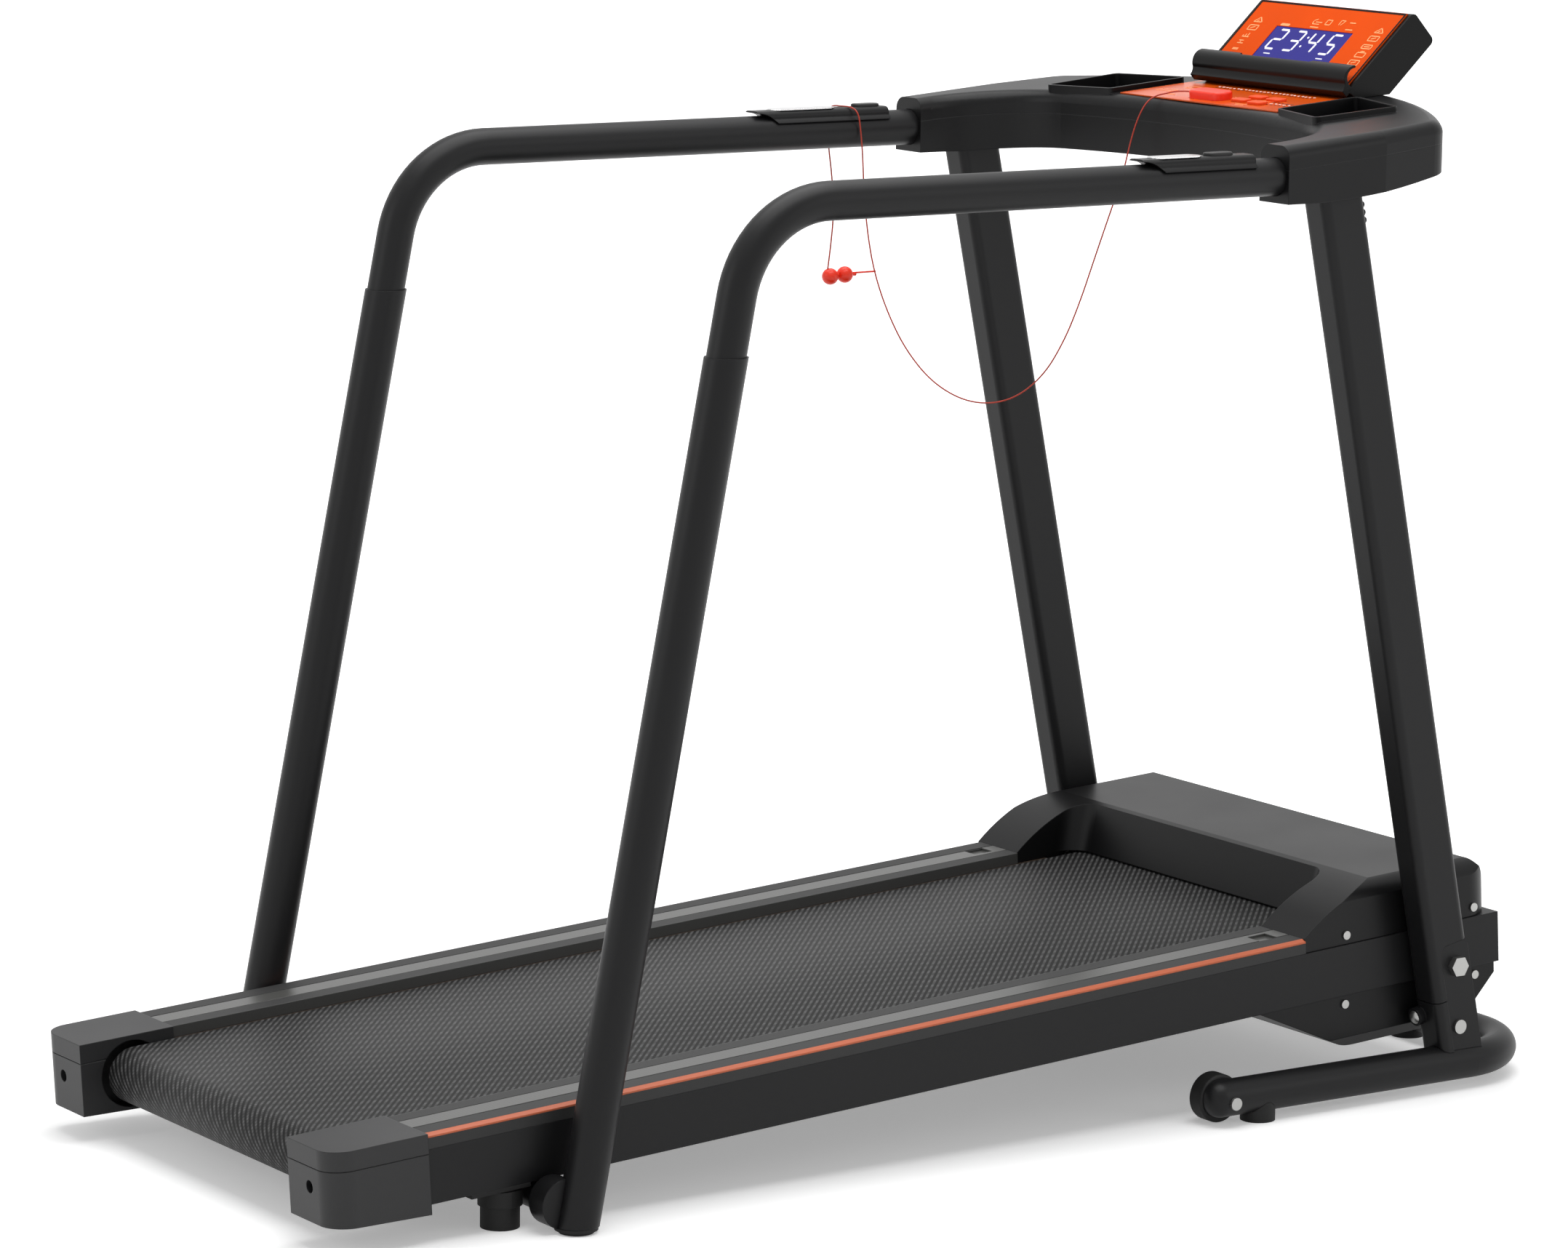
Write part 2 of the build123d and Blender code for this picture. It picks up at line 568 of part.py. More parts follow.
def wheel():
    """Transport wheel of the right side."""
    low = WHEEL_X - WHEEL_WIDTH / 2
    high = WHEEL_X + WHEEL_WIDTH / 2
    axle_z = WHEEL_RADIUS + WHEEL_LIFT
    tyre = rod_x(WHEEL_RADIUS, low, high, WHEEL_Y, axle_z)
    tyre = fillet(tyre.edges().filter_by(GeomType.CIRCLE), 3.0)
    groove_low, groove_high, depth = WHEEL_GROOVE
    for face_low, face_high in ((low, low + depth), (high - depth, high)):
        groove = rod_x(groove_high, face_low, face_high, WHEEL_Y, axle_z)
        tyre -= groove - rod_x(groove_low, face_low, face_high, WHEEL_Y, axle_z)
    return tyre - rod_x(WHEEL_AXLE_RADIUS + SHAFT_CLEARANCE, low - 1, high + 1, WHEEL_Y, axle_z)


def wheel_bolt():
    """Axle bolt of the right wheel, with its head and nut."""
    axle_z = WHEEL_RADIUS + WHEEL_LIFT
    outer = BASE_TUBE_X + BASE_TUBE_RADIUS
    wheel_low = WHEEL_X - WHEEL_WIDTH / 2 - WHEEL_SIDE_PLAY
    nut = wheel_low - WHEEL_AXLE_RADIUS - 1
    bolt = rod_x(WHEEL_AXLE_RADIUS, nut, outer, WHEEL_Y, axle_z)
    bolt += rod_x(WHEEL_AXLE_RADIUS + 2.5, outer, outer + 3, WHEEL_Y, axle_z)
    return bolt + rod_x(WHEEL_AXLE_RADIUS + 2.5, nut, wheel_low, WHEEL_Y, axle_z)


# ---------------------------------------------------------------- uprights
def upright_outer(grow):
    """Solid outline of the upright in its own frame, drawn out by grow."""
    section = RectangleRounded(
        UPRIGHT_WIDTH + 2 * grow, UPRIGHT_DEPTH + 2 * grow, UPRIGHT_CORNER + grow
    )
    top = (RAIL_Z - UPRIGHT_TOP_DROP - UPRIGHT_Z) / math.cos(math.radians(UPRIGHT_LEAN))
    return Pos(0, 0, UPRIGHT_BOTTOM) * extrude(section, top - UPRIGHT_BOTTOM)


def upright():
    """Right upright: rectangular tube with its outer face notched over the base bracket."""
    tube = upright_outer(0) - upright_outer(-UPRIGHT_WALL)
    half = UPRIGHT_WIDTH / 2
    notch_inner = half - UPRIGHT_WALL - BRACKET_WALL - 1
    notch = block(notch_inner, half + 1, NOTCH_REAR, UPRIGHT_DEPTH, UPRIGHT_BOTTOM - 1, NOTCH_TOP)
    upper = notch.edges().filter_by(Axis.X).group_by(Axis.Z)[-1]
    tube -= fillet(upper.sort_by(Axis.Y)[0], NOTCH_CORNER)
    tube -= block(-half, half + 1, UPRIGHT_DEPTH / 2 - UPRIGHT_CORNER, UPRIGHT_DEPTH,
                  UPRIGHT_BOTTOM - 1, NOTCH_TOP)
    placed = UPRIGHT_PLACE * tube
    placed -= rod_x(PIVOT_RADIUS + SHAFT_CLEARANCE, UPRIGHT_X - UPRIGHT_WIDTH, UPRIGHT_X,
                    PIVOT_Y, PIVOT_Z)
    return placed


def base_bracket():
    """Right base bracket: a channel welded on the floor tube, closed to the rear."""
    half = UPRIGHT_WIDTH / 2 - UPRIGHT_WALL
    rear = -UPRIGHT_DEPTH / 2 + UPRIGHT_WALL
    height = BRACKET_TOP - BRACKET_BOTTOM
    middle = (BRACKET_TOP + BRACKET_BOTTOM) / 2
    depth = BRACKET_FRONT - rear
    body = Pos(0, rear + depth / 2, middle) * Box(2 * half, depth, height)
    corners = body.edges().filter_by(Axis.Z).group_by(Axis.Y)[0]
    body = fillet(corners, UPRIGHT_CORNER - UPRIGHT_WALL)
    top_corners = body.edges().filter_by(Axis.X).group_by(Axis.Z)[-1]
    body = fillet(top_corners.sort_by(Axis.Y)[-1], BRACKET_CORNER)
    inside = Pos(0, rear + depth / 2 + BRACKET_WALL, middle) * Box(
        2 * (half - BRACKET_WALL), depth, height + 2
    )
    flush = Pos(0, 0, BRACKET_BOTTOM - UPRIGHT_BOTTOM - 1) * upright_outer(0)
    flush &= block(-UPRIGHT_X, UPRIGHT_X, -UPRIGHT_X, NOTCH_REAR, BRACKET_BOTTOM, UPRIGHT_BOTTOM - 1)
    radius, length = DOME_SPACER
    rise = (DOME_BOLT_Z - UPRIGHT_Z) / math.cos(math.radians(UPRIGHT_LEAN))
    outer_rear = -UPRIGHT_DEPTH / 2
    spacer = rod_y(radius, outer_rear - length, outer_rear + 1, -DOME_BOLT_SHIFT, rise)
    placed = UPRIGHT_PLACE * (body + flush + spacer - inside)
    placed -= floor_tube_solid(BASE_TUBE_RADIUS)
    placed -= block(0, 2 * UPRIGHT_X, 0, REACH, -REACH, BASE_TUBE_Z + 2)
    for radius, y, z in ((PIVOT_RADIUS, PIVOT_Y, PIVOT_Z), (RIVET_RADIUS, *rivet_centre())):
        placed -= rod_x(radius + SHAFT_CLEARANCE, UPRIGHT_X - UPRIGHT_WIDTH,
                        UPRIGHT_X + UPRIGHT_WIDTH, y, z)
    placed -= dome_bolt(0)
    return placed.solids().sort_by(SortBy.VOLUME)[-1]


def rivet_centre():
    """Y and Z of the round pin through the base bracket."""
    lean = math.radians(UPRIGHT_LEAN)
    return UPRIGHT_Y - RIVET_ALONG * math.sin(lean), UPRIGHT_Z + RIVET_ALONG * math.cos(lean)


def pivot_bolt():
    """Right pivot bolt of the deck, with its hexagon head, inner washer and nut."""
    outer = UPRIGHT_X + UPRIGHT_WIDTH / 2 - UPRIGHT_WALL
    inner = FRAME_HALF_WIDTH - FRAME_TUBE_WIDTH
    washer_low = FRAME_HALF_WIDTH + 0.1
    washer_high = UPRIGHT_X - UPRIGHT_WIDTH / 2
    bolt = rod_x(PIVOT_RADIUS, inner - 8, outer, PIVOT_Y, PIVOT_Z)
    head = Plane.YZ * RegularPolygon(PIVOT_HEAD_RADIUS, 6)
    bolt += Pos(outer, PIVOT_Y, PIVOT_Z) * extrude(head, PIVOT_HEAD_HEIGHT)
    bolt += rod_x(PIVOT_HEAD_RADIUS, washer_low, washer_high, PIVOT_Y, PIVOT_Z)
    bolt += rod_x(PIVOT_HEAD_RADIUS, inner - 8, inner - 0.2, PIVOT_Y, PIVOT_Z)
    return bolt


def bracket_pin():
    """Right bracket's round-headed pin."""
    y, z = rivet_centre()
    outer = UPRIGHT_X + UPRIGHT_WIDTH / 2 - UPRIGHT_WALL
    inner = UPRIGHT_X - UPRIGHT_WIDTH / 2 + UPRIGHT_WALL
    pin = rod_x(RIVET_RADIUS, inner, outer, y, z)
    return pin + rod_x(RIVET_HEAD_RADIUS, outer, outer + RIVET_HEAD_HEIGHT, y, z)


def lock_pin():
    """Pin of the left bracket that locks the folded deck, drawn for the right side, held out."""
    y, z = rivet_centre()
    outer = UPRIGHT_X + UPRIGHT_WIDTH / 2 - UPRIGHT_WALL
    low = outer + LOCK_PIN_TRAVEL + BODY_GAP
    pin = rod_x(RIVET_RADIUS, FRAME_HALF_WIDTH + LOCK_PIN_GAP, low, y, z)
    knob = rod_x(RIVET_HEAD_RADIUS, low, low + LOCK_PIN_HEAD, y, z)
    return pin + fillet(knob.edges().filter_by(GeomType.CIRCLE).sort_by(Axis.X)[-1], 2.0)


def lock_lug():
    """Lug under the left side tube with the lock pin's hole, in the deck's frame, drawn right."""
    fold = math.radians(FOLD_LOCK_ANGLE)
    y, z = rivet_centre()
    ahead = y - PIVOT_Y
    above = z - PIVOT_Z
    hole_y = PIVOT_Y + ahead * math.cos(fold) - above * math.sin(fold)
    hole_z = PIVOT_Z + ahead * math.sin(fold) + above * math.cos(fold)
    along, height = deck_point(hole_y, hole_z)
    length, drop = LUG_SIZE
    inner = FRAME_HALF_WIDTH - LUG_THICKNESS
    lug = block(inner, FRAME_HALF_WIDTH, along - length / 2, along + length / 2,
                FRAME_LOW - drop, FRAME_LOW)
    return lug - rod_x(RIVET_RADIUS + BODY_GAP, inner - 1, FRAME_HALF_WIDTH + 1, along, height)


def dome_bolt(head):
    """Right bracket's domed bolt through its rear boss, with a head of the given height."""
    rise = (DOME_BOLT_Z - UPRIGHT_Z) / math.cos(math.radians(UPRIGHT_LEAN))
    wall = -UPRIGHT_DEPTH / 2 + UPRIGHT_WALL + BRACKET_WALL
    rear = -UPRIGHT_DEPTH / 2 - DOME_SPACER[1]
    x = -DOME_BOLT_SHIFT
    bolt = rod_y(RIVET_RADIUS, rear - head, wall + 8, x, rise)
    if head:
        ball = Pos(x, rear + DOME_RADIUS - DOME_HEIGHT, rise) * Sphere(DOME_RADIUS)
        bolt += ball & block(-REACH, REACH, -REACH, rear, -REACH, 0)
    return UPRIGHT_PLACE * bolt


def cable_clip():
    """Small plastic clip on the front of the right upright, under the console."""
    lean = math.radians(UPRIGHT_LEAN)
    front = UPRIGHT_Y - (CLIP_Z - UPRIGHT_Z) * math.tan(lean)
    front += UPRIGHT_DEPTH / 2 / math.cos(lean)
    width, depth, height = CLIP_SIZE
    clip = block(-width / 2, width / 2, 0, depth, -height / 2, height / 2)
    pitch = height / CLIP_TEETH
    for tooth in range(CLIP_TEETH):
        rise = (tooth + 0.5) * pitch - height / 2
        clip += rod_x(CLIP_TOOTH_RADIUS, -width / 2, width / 2, depth, rise)
    return Pos(UPRIGHT_X, front, CLIP_Z) * Rot(UPRIGHT_LEAN, 0, 0) * clip


# ---------------------------------------------------------------- posts and handrails
def post_axis(z):
    """Point on the right post's axis at a height."""
    share = z / POST_SEAM_Z
    x = POST_FOOT_X + (POST_SEAM_X - POST_FOOT_X) * share
    y = POST_FOOT_Y + (POST_SEAM_Y - POST_FOOT_Y) * share
    return x, y, z


def post_solid(radius, low, high):
    """Round bar along the right post's axis, cut level at both ends."""
    start = Vector(*post_axis(low - 40))
    end = Vector(*post_axis(high + 40))
    plane = Plane(origin=start, z_dir=(end - start).normalized())
    bar = extrude(plane * Circle(radius), (end - start).length)
    return bar & block(0, REACH, -REACH, REACH, low, high)


def post():
    """Right rear post, a plain tube that the handrail plugs into."""
    inside = post_solid(POST_RADIUS - POST_WALL, POST_FOOT_Z, POST_SEAM_Z)
    return post_solid(POST_RADIUS, POST_FOOT_Z, POST_SEAM_Z) - inside


def handrail():
    """Right handrail: from inside the post, up, round the bend and along to the console."""
    foot = post_axis(POST_SEAM_Z - RAIL_INSERT)
    points = [foot, post_axis(RAIL_Z), (RAIL_X, RAIL_FRONT_Y, RAIL_Z)]
    bore = bent_bar(points, [RAIL_BEND_RADIUS], RAIL_RADIUS - RAIL_WALL)
    return bent_bar(points, [RAIL_BEND_RADIUS], RAIL_RADIUS) - bore


def post_cross_tube():
    """Tube under the deck that ties the two posts, with a disc at each end."""
    tube = rod_x(CROSS_TUBE_RADIUS, -POST_FOOT_X, POST_FOOT_X, CROSS_TUBE_Y, CROSS_TUBE_Z)
    for side in (-1, 1):
        low, high = sorted((side * CROSS_DISC_X, side * POST_FOOT_X))
        tube += rod_x(CROSS_DISC_RADIUS, low, high, CROSS_TUBE_Y, CROSS_TUBE_Z)
    keep_out = post_solid(POST_RADIUS, POST_FOOT_Z, POST_SEAM_Z)
    keep_out += rod_z(POST_RADIUS, 0, POST_FOOT_Z, POST_FOOT_X, POST_FOOT_Y)
    tube -= keep_out
    tube -= mirrored(keep_out)
    return tube.solids().sort_by(SortBy.VOLUME)[-1]


# ---------------------------------------------------------------- grips
def grip_pad(span):
    """Saddle that sits over the right handrail, flat on top, its rear end rising like a bow."""
    low, high = span
    outline = Circle(RAIL_RADIUS + PAD_SKIN)
    outline += RectangleRounded(2 * PAD_TOP_HALF_WIDTH, 2 * (PAD_TOP_Z - RAIL_Z), PAD_CORNER)
    pad = Pos(0, high, 0) * extrude(Plane.XZ * Pos(RAIL_X, RAIL_Z) * outline, high - low)
    pad -= block(0, 2 * RAIL_X, low, high, 0, PAD_LOW_Z)
    tip = PAD_TOP_Z - PAD_SKIN
    bow = [
        Line((low - 1, PAD_LOW_Z - 1), (low - 1, tip)),
        ThreePointArc((low - 1, tip), (low + PAD_RAMP / 2, tip - PAD_SKIN), (low + PAD_RAMP, PAD_LOW_Z - 1)),
        Line((low + PAD_RAMP, PAD_LOW_Z - 1), (low - 1, PAD_LOW_Z - 1)),
    ]
    pad -= extrude(Plane.YZ * make_face(Curve() + bow), 2 * RAIL_X)
    pad -= rod_y(RAIL_RADIUS, low - 1, high + 1, RAIL_X, RAIL_Z)
    return pad.solids().sort_by(SortBy.VOLUME)[-1]


def grip_key_shape(y, grow, low, high):
    """Rounded bar shape of a grip button over the right handrail."""
    section = SlotOverall(GRIP_KEY_LENGTH + 2 * grow, GRIP_KEY_WIDTH + 2 * grow)
    return Pos(RAIL_X, y, low) * Rot(0, 0, 90) * extrude(section, high - low)


def grip(span, plate_span, key_y):
    """Pad, contact plate and button of one handrail, on the right side."""
    low = PAD_TOP_Z - GRIP_KEY_DEPTH
    pad = grip_pad(span)
    pad -= grip_key_shape(key_y, KEY_GAP, low, PAD_TOP_Z + 1)
    rear, front = plate_span
    plan = RectangleRounded(2 * PLATE_HALF_WIDTH, front - rear, PLATE_CORNER)
    plate = Pos(RAIL_X, (rear + front) / 2, PAD_TOP_Z) * extrude(plan, PLATE_THICKNESS)
    key_low = low + GRIP_KEY_TRAVEL + 0.2
    key = grip_key_shape(key_y, 0, key_low, PAD_TOP_Z + GRIP_KEY_PROUD)
    key = fillet(key.faces().sort_by(Axis.Z)[-1].edges(), 1.5)
    return pad, plate, key


# ---------------------------------------------------------------- console
def console_plan(inset):
    """Outline of the console from above, drawn in by inset."""
    sleeve_front = (SLEEVE_INNER_X, SLEEVE_REAR_Y + SLEEVE_LENGTH)
    sleeve_inner = (SLEEVE_INNER_X, SLEEVE_REAR_Y)
    sleeve_outer = (SLEEVE_OUTER_X, SLEEVE_REAR_Y)
    side = (SLEEVE_OUTER_X, CONSOLE_SIDE_Y)
    corner = (CONSOLE_CORNER_X, CONSOLE_CORNER_Y)
    rear = (CONSOLE_REAR_X, CONSOLE_REAR_Y)
    half = [
        Line(sleeve_front, sleeve_inner),
        Line(sleeve_inner, sleeve_outer),
        Line(sleeve_outer, side),
        Line(side, corner),
        ThreePointArc(sleeve_front, CONSOLE_WAIST, rear),
    ]
    edges = half + [mirror(edge, about=Plane.YZ) for edge in half]
    rear_middle = (0, CONSOLE_REAR_Y + CONSOLE_REAR_SAG)
    edges.append(ThreePointArc(rear, rear_middle, (-CONSOLE_REAR_X, CONSOLE_REAR_Y)))
    front = (0, CONSOLE_FRONT_Y)
    edges.append(ThreePointArc(corner, front, (-CONSOLE_CORNER_X, CONSOLE_CORNER_Y)))
    plan = make_face(Curve() + edges)
    outer_corners = plan.vertices().filter_by_position(Axis.Y, CONSOLE_CORNER_Y - 1, CONSOLE_CORNER_Y + 1)
    plan = fillet(outer_corners, CONSOLE_CORNER_RADIUS)
    if inset == 0:
        return plan
    return offset(plan, amount=-inset, kind=Kind.INTERSECTION)


def console_top(y, drop):
    """Height of the console's sloping top at Y, less a drop."""
    rise = (y - SLEEVE_REAR_Y) * math.tan(math.radians(CONSOLE_TOP_ANGLE))
    return SLEEVE_TOP_Z + rise - drop


def console_solid(inset):
    """The console's outer form, drawn in by inset on every side."""
    rear = SLEEVE_REAR_Y - 1
    front = CONSOLE_FRONT_Y + 1
    low = SLEEVE_LOW_Z + inset
    middle_y, rise = CONSOLE_UNDER_MID
    corners = [
        (front, low + CONSOLE_UNDER_FRONT), (front, console_top(front, inset)),
        (rear, console_top(rear, inset)), (rear, low), (RAIL_FRONT_Y + 2, low),
    ]
    outline = [Line(start, end) for start, end in zip(corners, corners[1:])]
    outline.append(ThreePointArc(corners[-1], (middle_y, low + rise), corners[0]))
    profile = extrude(Plane.YZ * make_face(Curve() + outline), 2 * REACH)
    plan = Pos(0, 0, SLEEVE_LOW_Z - 10) * extrude(console_plan(inset), REACH)
    return plan & Pos(-REACH, 0, 0) * profile


def round_top(form, mouth_y, radius):
    """Form with the edges of its sloping top rounded, all but those at the sleeves' mouths."""
    rim = form.faces().sort_by(Axis.Z)[-1].edges()
    mouths = rim.filter_by_position(Axis.Y, 0, mouth_y)
    return fillet([edge for edge in rim if edge not in mouths], radius)


def console_shells():
    """Lower and upper shells of the console, with the sleeves, trays and openings."""
    outer = round_top(console_solid(0), SLEEVE_REAR_Y + 1, CONSOLE_EDGE)
    inner = console_solid(CONSOLE_WALL)
    inner = round_top(inner, SLEEVE_REAR_Y + CONSOLE_WALL + 1, CONSOLE_EDGE - CONSOLE_WALL)
    solid_sleeve = block(-REACH, REACH, 0, RAIL_FRONT_Y + 2, 0, REACH)
    body = outer - (inner - solid_sleeve)
    for side in (-1, 1):
        body -= rod_y(RAIL_RADIUS + SLEEVE_BORE_CLEARANCE, SLEEVE_REAR_Y - 1, RAIL_FRONT_Y + 3,
                      side * RAIL_X, RAIL_Z)
    column = UPRIGHT_PLACE * upright_outer(UPRIGHT_POCKET_CLEARANCE)
    body -= column
    body -= mirrored(column)
    corners = [(x, on_top(y)) for x, y in TRAY_CORNERS]
    for side in (-1, 1):
        outline = make_face(Polyline(*[(side * x, y) for x, y in corners], close=True))
        outline = fillet(outline.vertices(), TRAY_CORNER_RADIUS)
        hollow = offset(outline, amount=-TRAY_WALL)
        depth = TRAY_DEPTH + TRAY_WALL
        tub = Pos(0, 0, -depth) * extrude(outline, depth + TRAY_RIM)
        space = Pos(0, 0, -TRAY_DEPTH) * extrude(hollow, TRAY_DEPTH + TRAY_RIM + 1)
        body += TOP_PLACE * tub
        body -= TOP_PLACE * space
    for x, ahead in CONSOLE_KEYS.values():
        bore = KEY_STEM_RADIUS + SHAFT_CLEARANCE
        body -= TOP_PLACE * rod_z(bore, -KEY_STEM_LENGTH, 1, x, on_top(PANEL_REAR_Y + ahead))
    for x, y in board_posts():
        body += TOP_PLACE * rod_z(BOARD_POST_RADIUS, -BOARD_DROP, -1, x, y)
    seam = [(0, console_top(0, CONSOLE_SEAM_DROP)), (REACH, console_top(REACH, CONSOLE_SEAM_DROP)),
            (REACH, 0), (0, 0)]
    below = side_profile(seam, -REACH, REACH)
    lower = (body & below).solids().sort_by(SortBy.VOLUME)[-1]
    upper = (body - below).solids().sort_by(SortBy.VOLUME)[-1]
    return lower, upper


def safety_key_shape(grow, low, high):
    """Rounded outline of the safety key, with a flat end for its cord."""
    length = SAFETY_KEY_LENGTH + 2 * grow
    width = SAFETY_KEY_WIDTH + 2 * grow
    section = RectangleRounded(length, width, SAFETY_KEY_CORNER)
    return Pos(SAFETY_KEY_X, on_top(SAFETY_KEY_Y), low) * extrude(section, high - low)


def key_shape(x, ahead, grow, low, high):
    """Rounded outline of a console key, at a distance ahead of the panel's rear edge."""
    section = RectangleRounded(KEY_SIZE[0] + 2 * grow, KEY_SIZE[1] + 2 * grow, 3.0)
    return Pos(x, on_top(PANEL_REAR_Y + ahead), low) * extrude(section, high - low)


def control_panel():
    """Plate on top of the console, with the keys' windows and the safety key's seat."""
    panel = block(-PANEL_HALF_WIDTH, PANEL_HALF_WIDTH, on_top(PANEL_REAR_Y), on_top(PANEL_FRONT_Y),
                  0, PANEL_THICKNESS)
    for x, ahead in CONSOLE_KEYS.values():
        panel -= key_shape(x, ahead, KEY_GAP, -1, PANEL_THICKNESS + 1)
    seat = PANEL_THICKNESS - SAFETY_POCKET_DEPTH
    panel -= safety_key_shape(KEY_GAP, seat, PANEL_THICKNESS + 1)
    return TOP_PLACE * panel


def console_key(x, ahead):
    """One console key with its guide stem."""
    low = KEY_TRAVEL + 0.2
    key = key_shape(x, ahead, 0, low, low + KEY_HEIGHT)
    key = fillet(key.faces().sort_by(Axis.Z)[-1].edges(), 0.8)
    key += rod_z(KEY_STEM_RADIUS, -KEY_STEM_LENGTH, low + 1, x, on_top(PANEL_REAR_Y + ahead))
    return TOP_PLACE * key


def safety_key():
    """Magnetic safety key that sits in the control panel."""
    seat = PANEL_THICKNESS - SAFETY_POCKET_DEPTH
    key = safety_key_shape(0, seat, seat + SAFETY_KEY_HEIGHT)
    return TOP_PLACE * fillet(key.faces().sort_by(Axis.Z)[-1].edges(), SAFETY_KEY_EDGE)


def board_posts():
    """Places of the four posts that carry the circuit board, in the top's own frame."""
    length, width, thickness = BOARD_SIZE
    reach = length / 2 - 2 * BOARD_POST_RADIUS
    spread = width / 2 - 2 * BOARD_POST_RADIUS
    centre = on_top(BOARD_Y)
    return [(x, centre + y) for x in (-reach, reach) for y in (-spread, spread)]


def console_board():
    """Circuit board on the four posts under the console's top."""
    length, width, thickness = BOARD_SIZE
    centre = on_top(BOARD_Y)
    return TOP_PLACE * block(-length / 2, length / 2, centre - width / 2, centre + width / 2,
                             -BOARD_DROP - thickness, -BOARD_DROP)


# ---------------------------------------------------------------- monitor
def monitor_outline(inset):
    """Side outline of the monitor, from the console's top up, in Y and Z."""
    angle = math.radians(FACE_ANGLE)
    up = (math.cos(angle), math.sin(angle))
    back = (math.sin(angle), -math.cos(angle))
    bottom = (FACE_LOW_Y + inset * (back[0] + up[0]), FACE_LOW_Z + inset * (back[1] + up[1]))
    rise = FACE_LENGTH - 2 * inset
    top = (bottom[0] + rise * up[0], bottom[1] + rise * up[1])
    depth = MONITOR_DEPTH - 2 * inset
    rear = (top[0] + depth * back[0], top[1] + depth * back[1])
    slope = math.tan(math.radians(CONSOLE_TOP_ANGLE))
    run = (rear[1] - console_top(rear[0], -inset)) / (up[1] - slope * up[0])
    foot = (rear[0] - run * up[0], rear[1] - run * up[1])
    nose_y = bottom[0] + MONITOR_NOSE + inset
    return [bottom, top, rear, foot, (nose_y, console_top(nose_y, -inset))]


def monitor_shell():
    """Housing of the display, hollow, with a window behind the glass."""
    outer = side_profile(monitor_outline(0), -MONITOR_HALF_WIDTH, MONITOR_HALF_WIDTH)
    half = MONITOR_HALF_WIDTH - MONITOR_WALL
    inner = side_profile(monitor_outline(MONITOR_WALL), -half, half)
    window = FACE_PLACE * block(-DISPLAY_HALF_WIDTH + 4, DISPLAY_HALF_WIDTH - 4,
                                DISPLAY_LOW + 4, DISPLAY_TOP - 4, -2 * MONITOR_WALL, 1)
    edges = outer.edges().filter_by(Axis.X).sort_by(Axis.Z)[-2:]
    return fillet(edges, MONITOR_CORNER) - inner - window


def monitor_fascia():
    """Plate on the monitor's face, with the display's opening."""
    half = MONITOR_HALF_WIDTH - FASCIA_MARGIN
    plate = block(-half, half, FASCIA_MARGIN, FACE_LENGTH - FASCIA_MARGIN, 0, FASCIA_THICKNESS)
    plate -= block(-DISPLAY_HALF_WIDTH, DISPLAY_HALF_WIDTH, DISPLAY_LOW, DISPLAY_TOP,
                   -1, FASCIA_THICKNESS + 1)
    return FACE_PLACE * plate


def display_window():
    """Display glass in the fascia's opening."""
    return FACE_PLACE * block(-DISPLAY_HALF_WIDTH, DISPLAY_HALF_WIDTH, DISPLAY_LOW, DISPLAY_TOP,
                              0, DISPLAY_THICKNESS)


def tablet_ledge():
    """Hooked ledge along the foot of the monitor that holds a tablet, with a notched lip."""
    proud = LEDGE_PROUD
    high = LEDGE_HIGH
    wall = LEDGE_WALL
    lip_outer = (high - wall / 2, proud - 2)
    lip_inner = (high - wall / 2, proud - 2 - wall)
    neck = (2.0, proud / 2 + 1)
    outline = [
        Line((0, 0), (0.3, -2)),
        Line((0.3, -2), (-6, -2)),
        Line((-6, -2), (-6, proud / 3)),
        ThreePointArc((-6, proud / 3), (-2.8, proud / 3 + 0.6), neck),
        ThreePointArc(neck, (high / 2, proud), lip_outer),
        ThreePointArc(lip_outer, (high, proud - 2 - wall / 2), lip_inner),
        ThreePointArc(lip_inner, (high / 2, proud - wall), (FASCIA_MARGIN, FASCIA_THICKNESS + wall)),
        Line((FASCIA_MARGIN, FASCIA_THICKNESS + wall), (FASCIA_MARGIN, 0)),
        Line((FASCIA_MARGIN, 0), (0, 0)),
    ]
    section = Plane.YZ * make_face(Curve() + outline)
    ledge = Pos(-LEDGE_HALF_WIDTH, 0, 0) * extrude(section, 2 * LEDGE_HALF_WIDTH)
    reach = LEDGE_NOTCH_HALF_WIDTH
    low = high - LEDGE_NOTCH_DEPTH
    notch = Polyline((-reach - 4, high + 1), (-reach, low), (reach, low), (reach + 4, high + 1), close=True)
    ledge -= extrude(make_face(notch), 2 * proud)
    return FACE_PLACE * ledge


# ---------------------------------------------------------------- deck frame
def side_tube(lug):
    """Right side tube of the deck frame, with or without the lock lug."""
    inner = FRAME_HALF_WIDTH - FRAME_TUBE_WIDTH
    tube = block(inner, FRAME_HALF_WIDTH, FRAME_REAR, FRAME_FRONT, FRAME_LOW, FRAME_HIGH)
    tube -= block(inner + FRAME_WALL, FRAME_HALF_WIDTH - FRAME_WALL, FRAME_REAR - 1,
                  FRAME_FRONT - FRAME_WALL, FRAME_LOW + FRAME_WALL, FRAME_HIGH - FRAME_WALL)
    tube -= rod_x(PIVOT_RADIUS + SHAFT_CLEARANCE, inner - 1, FRAME_HALF_WIDTH + 1, *PIVOT)
    if lug:
        tube += lock_lug()
    return DECK_PLACE * tube


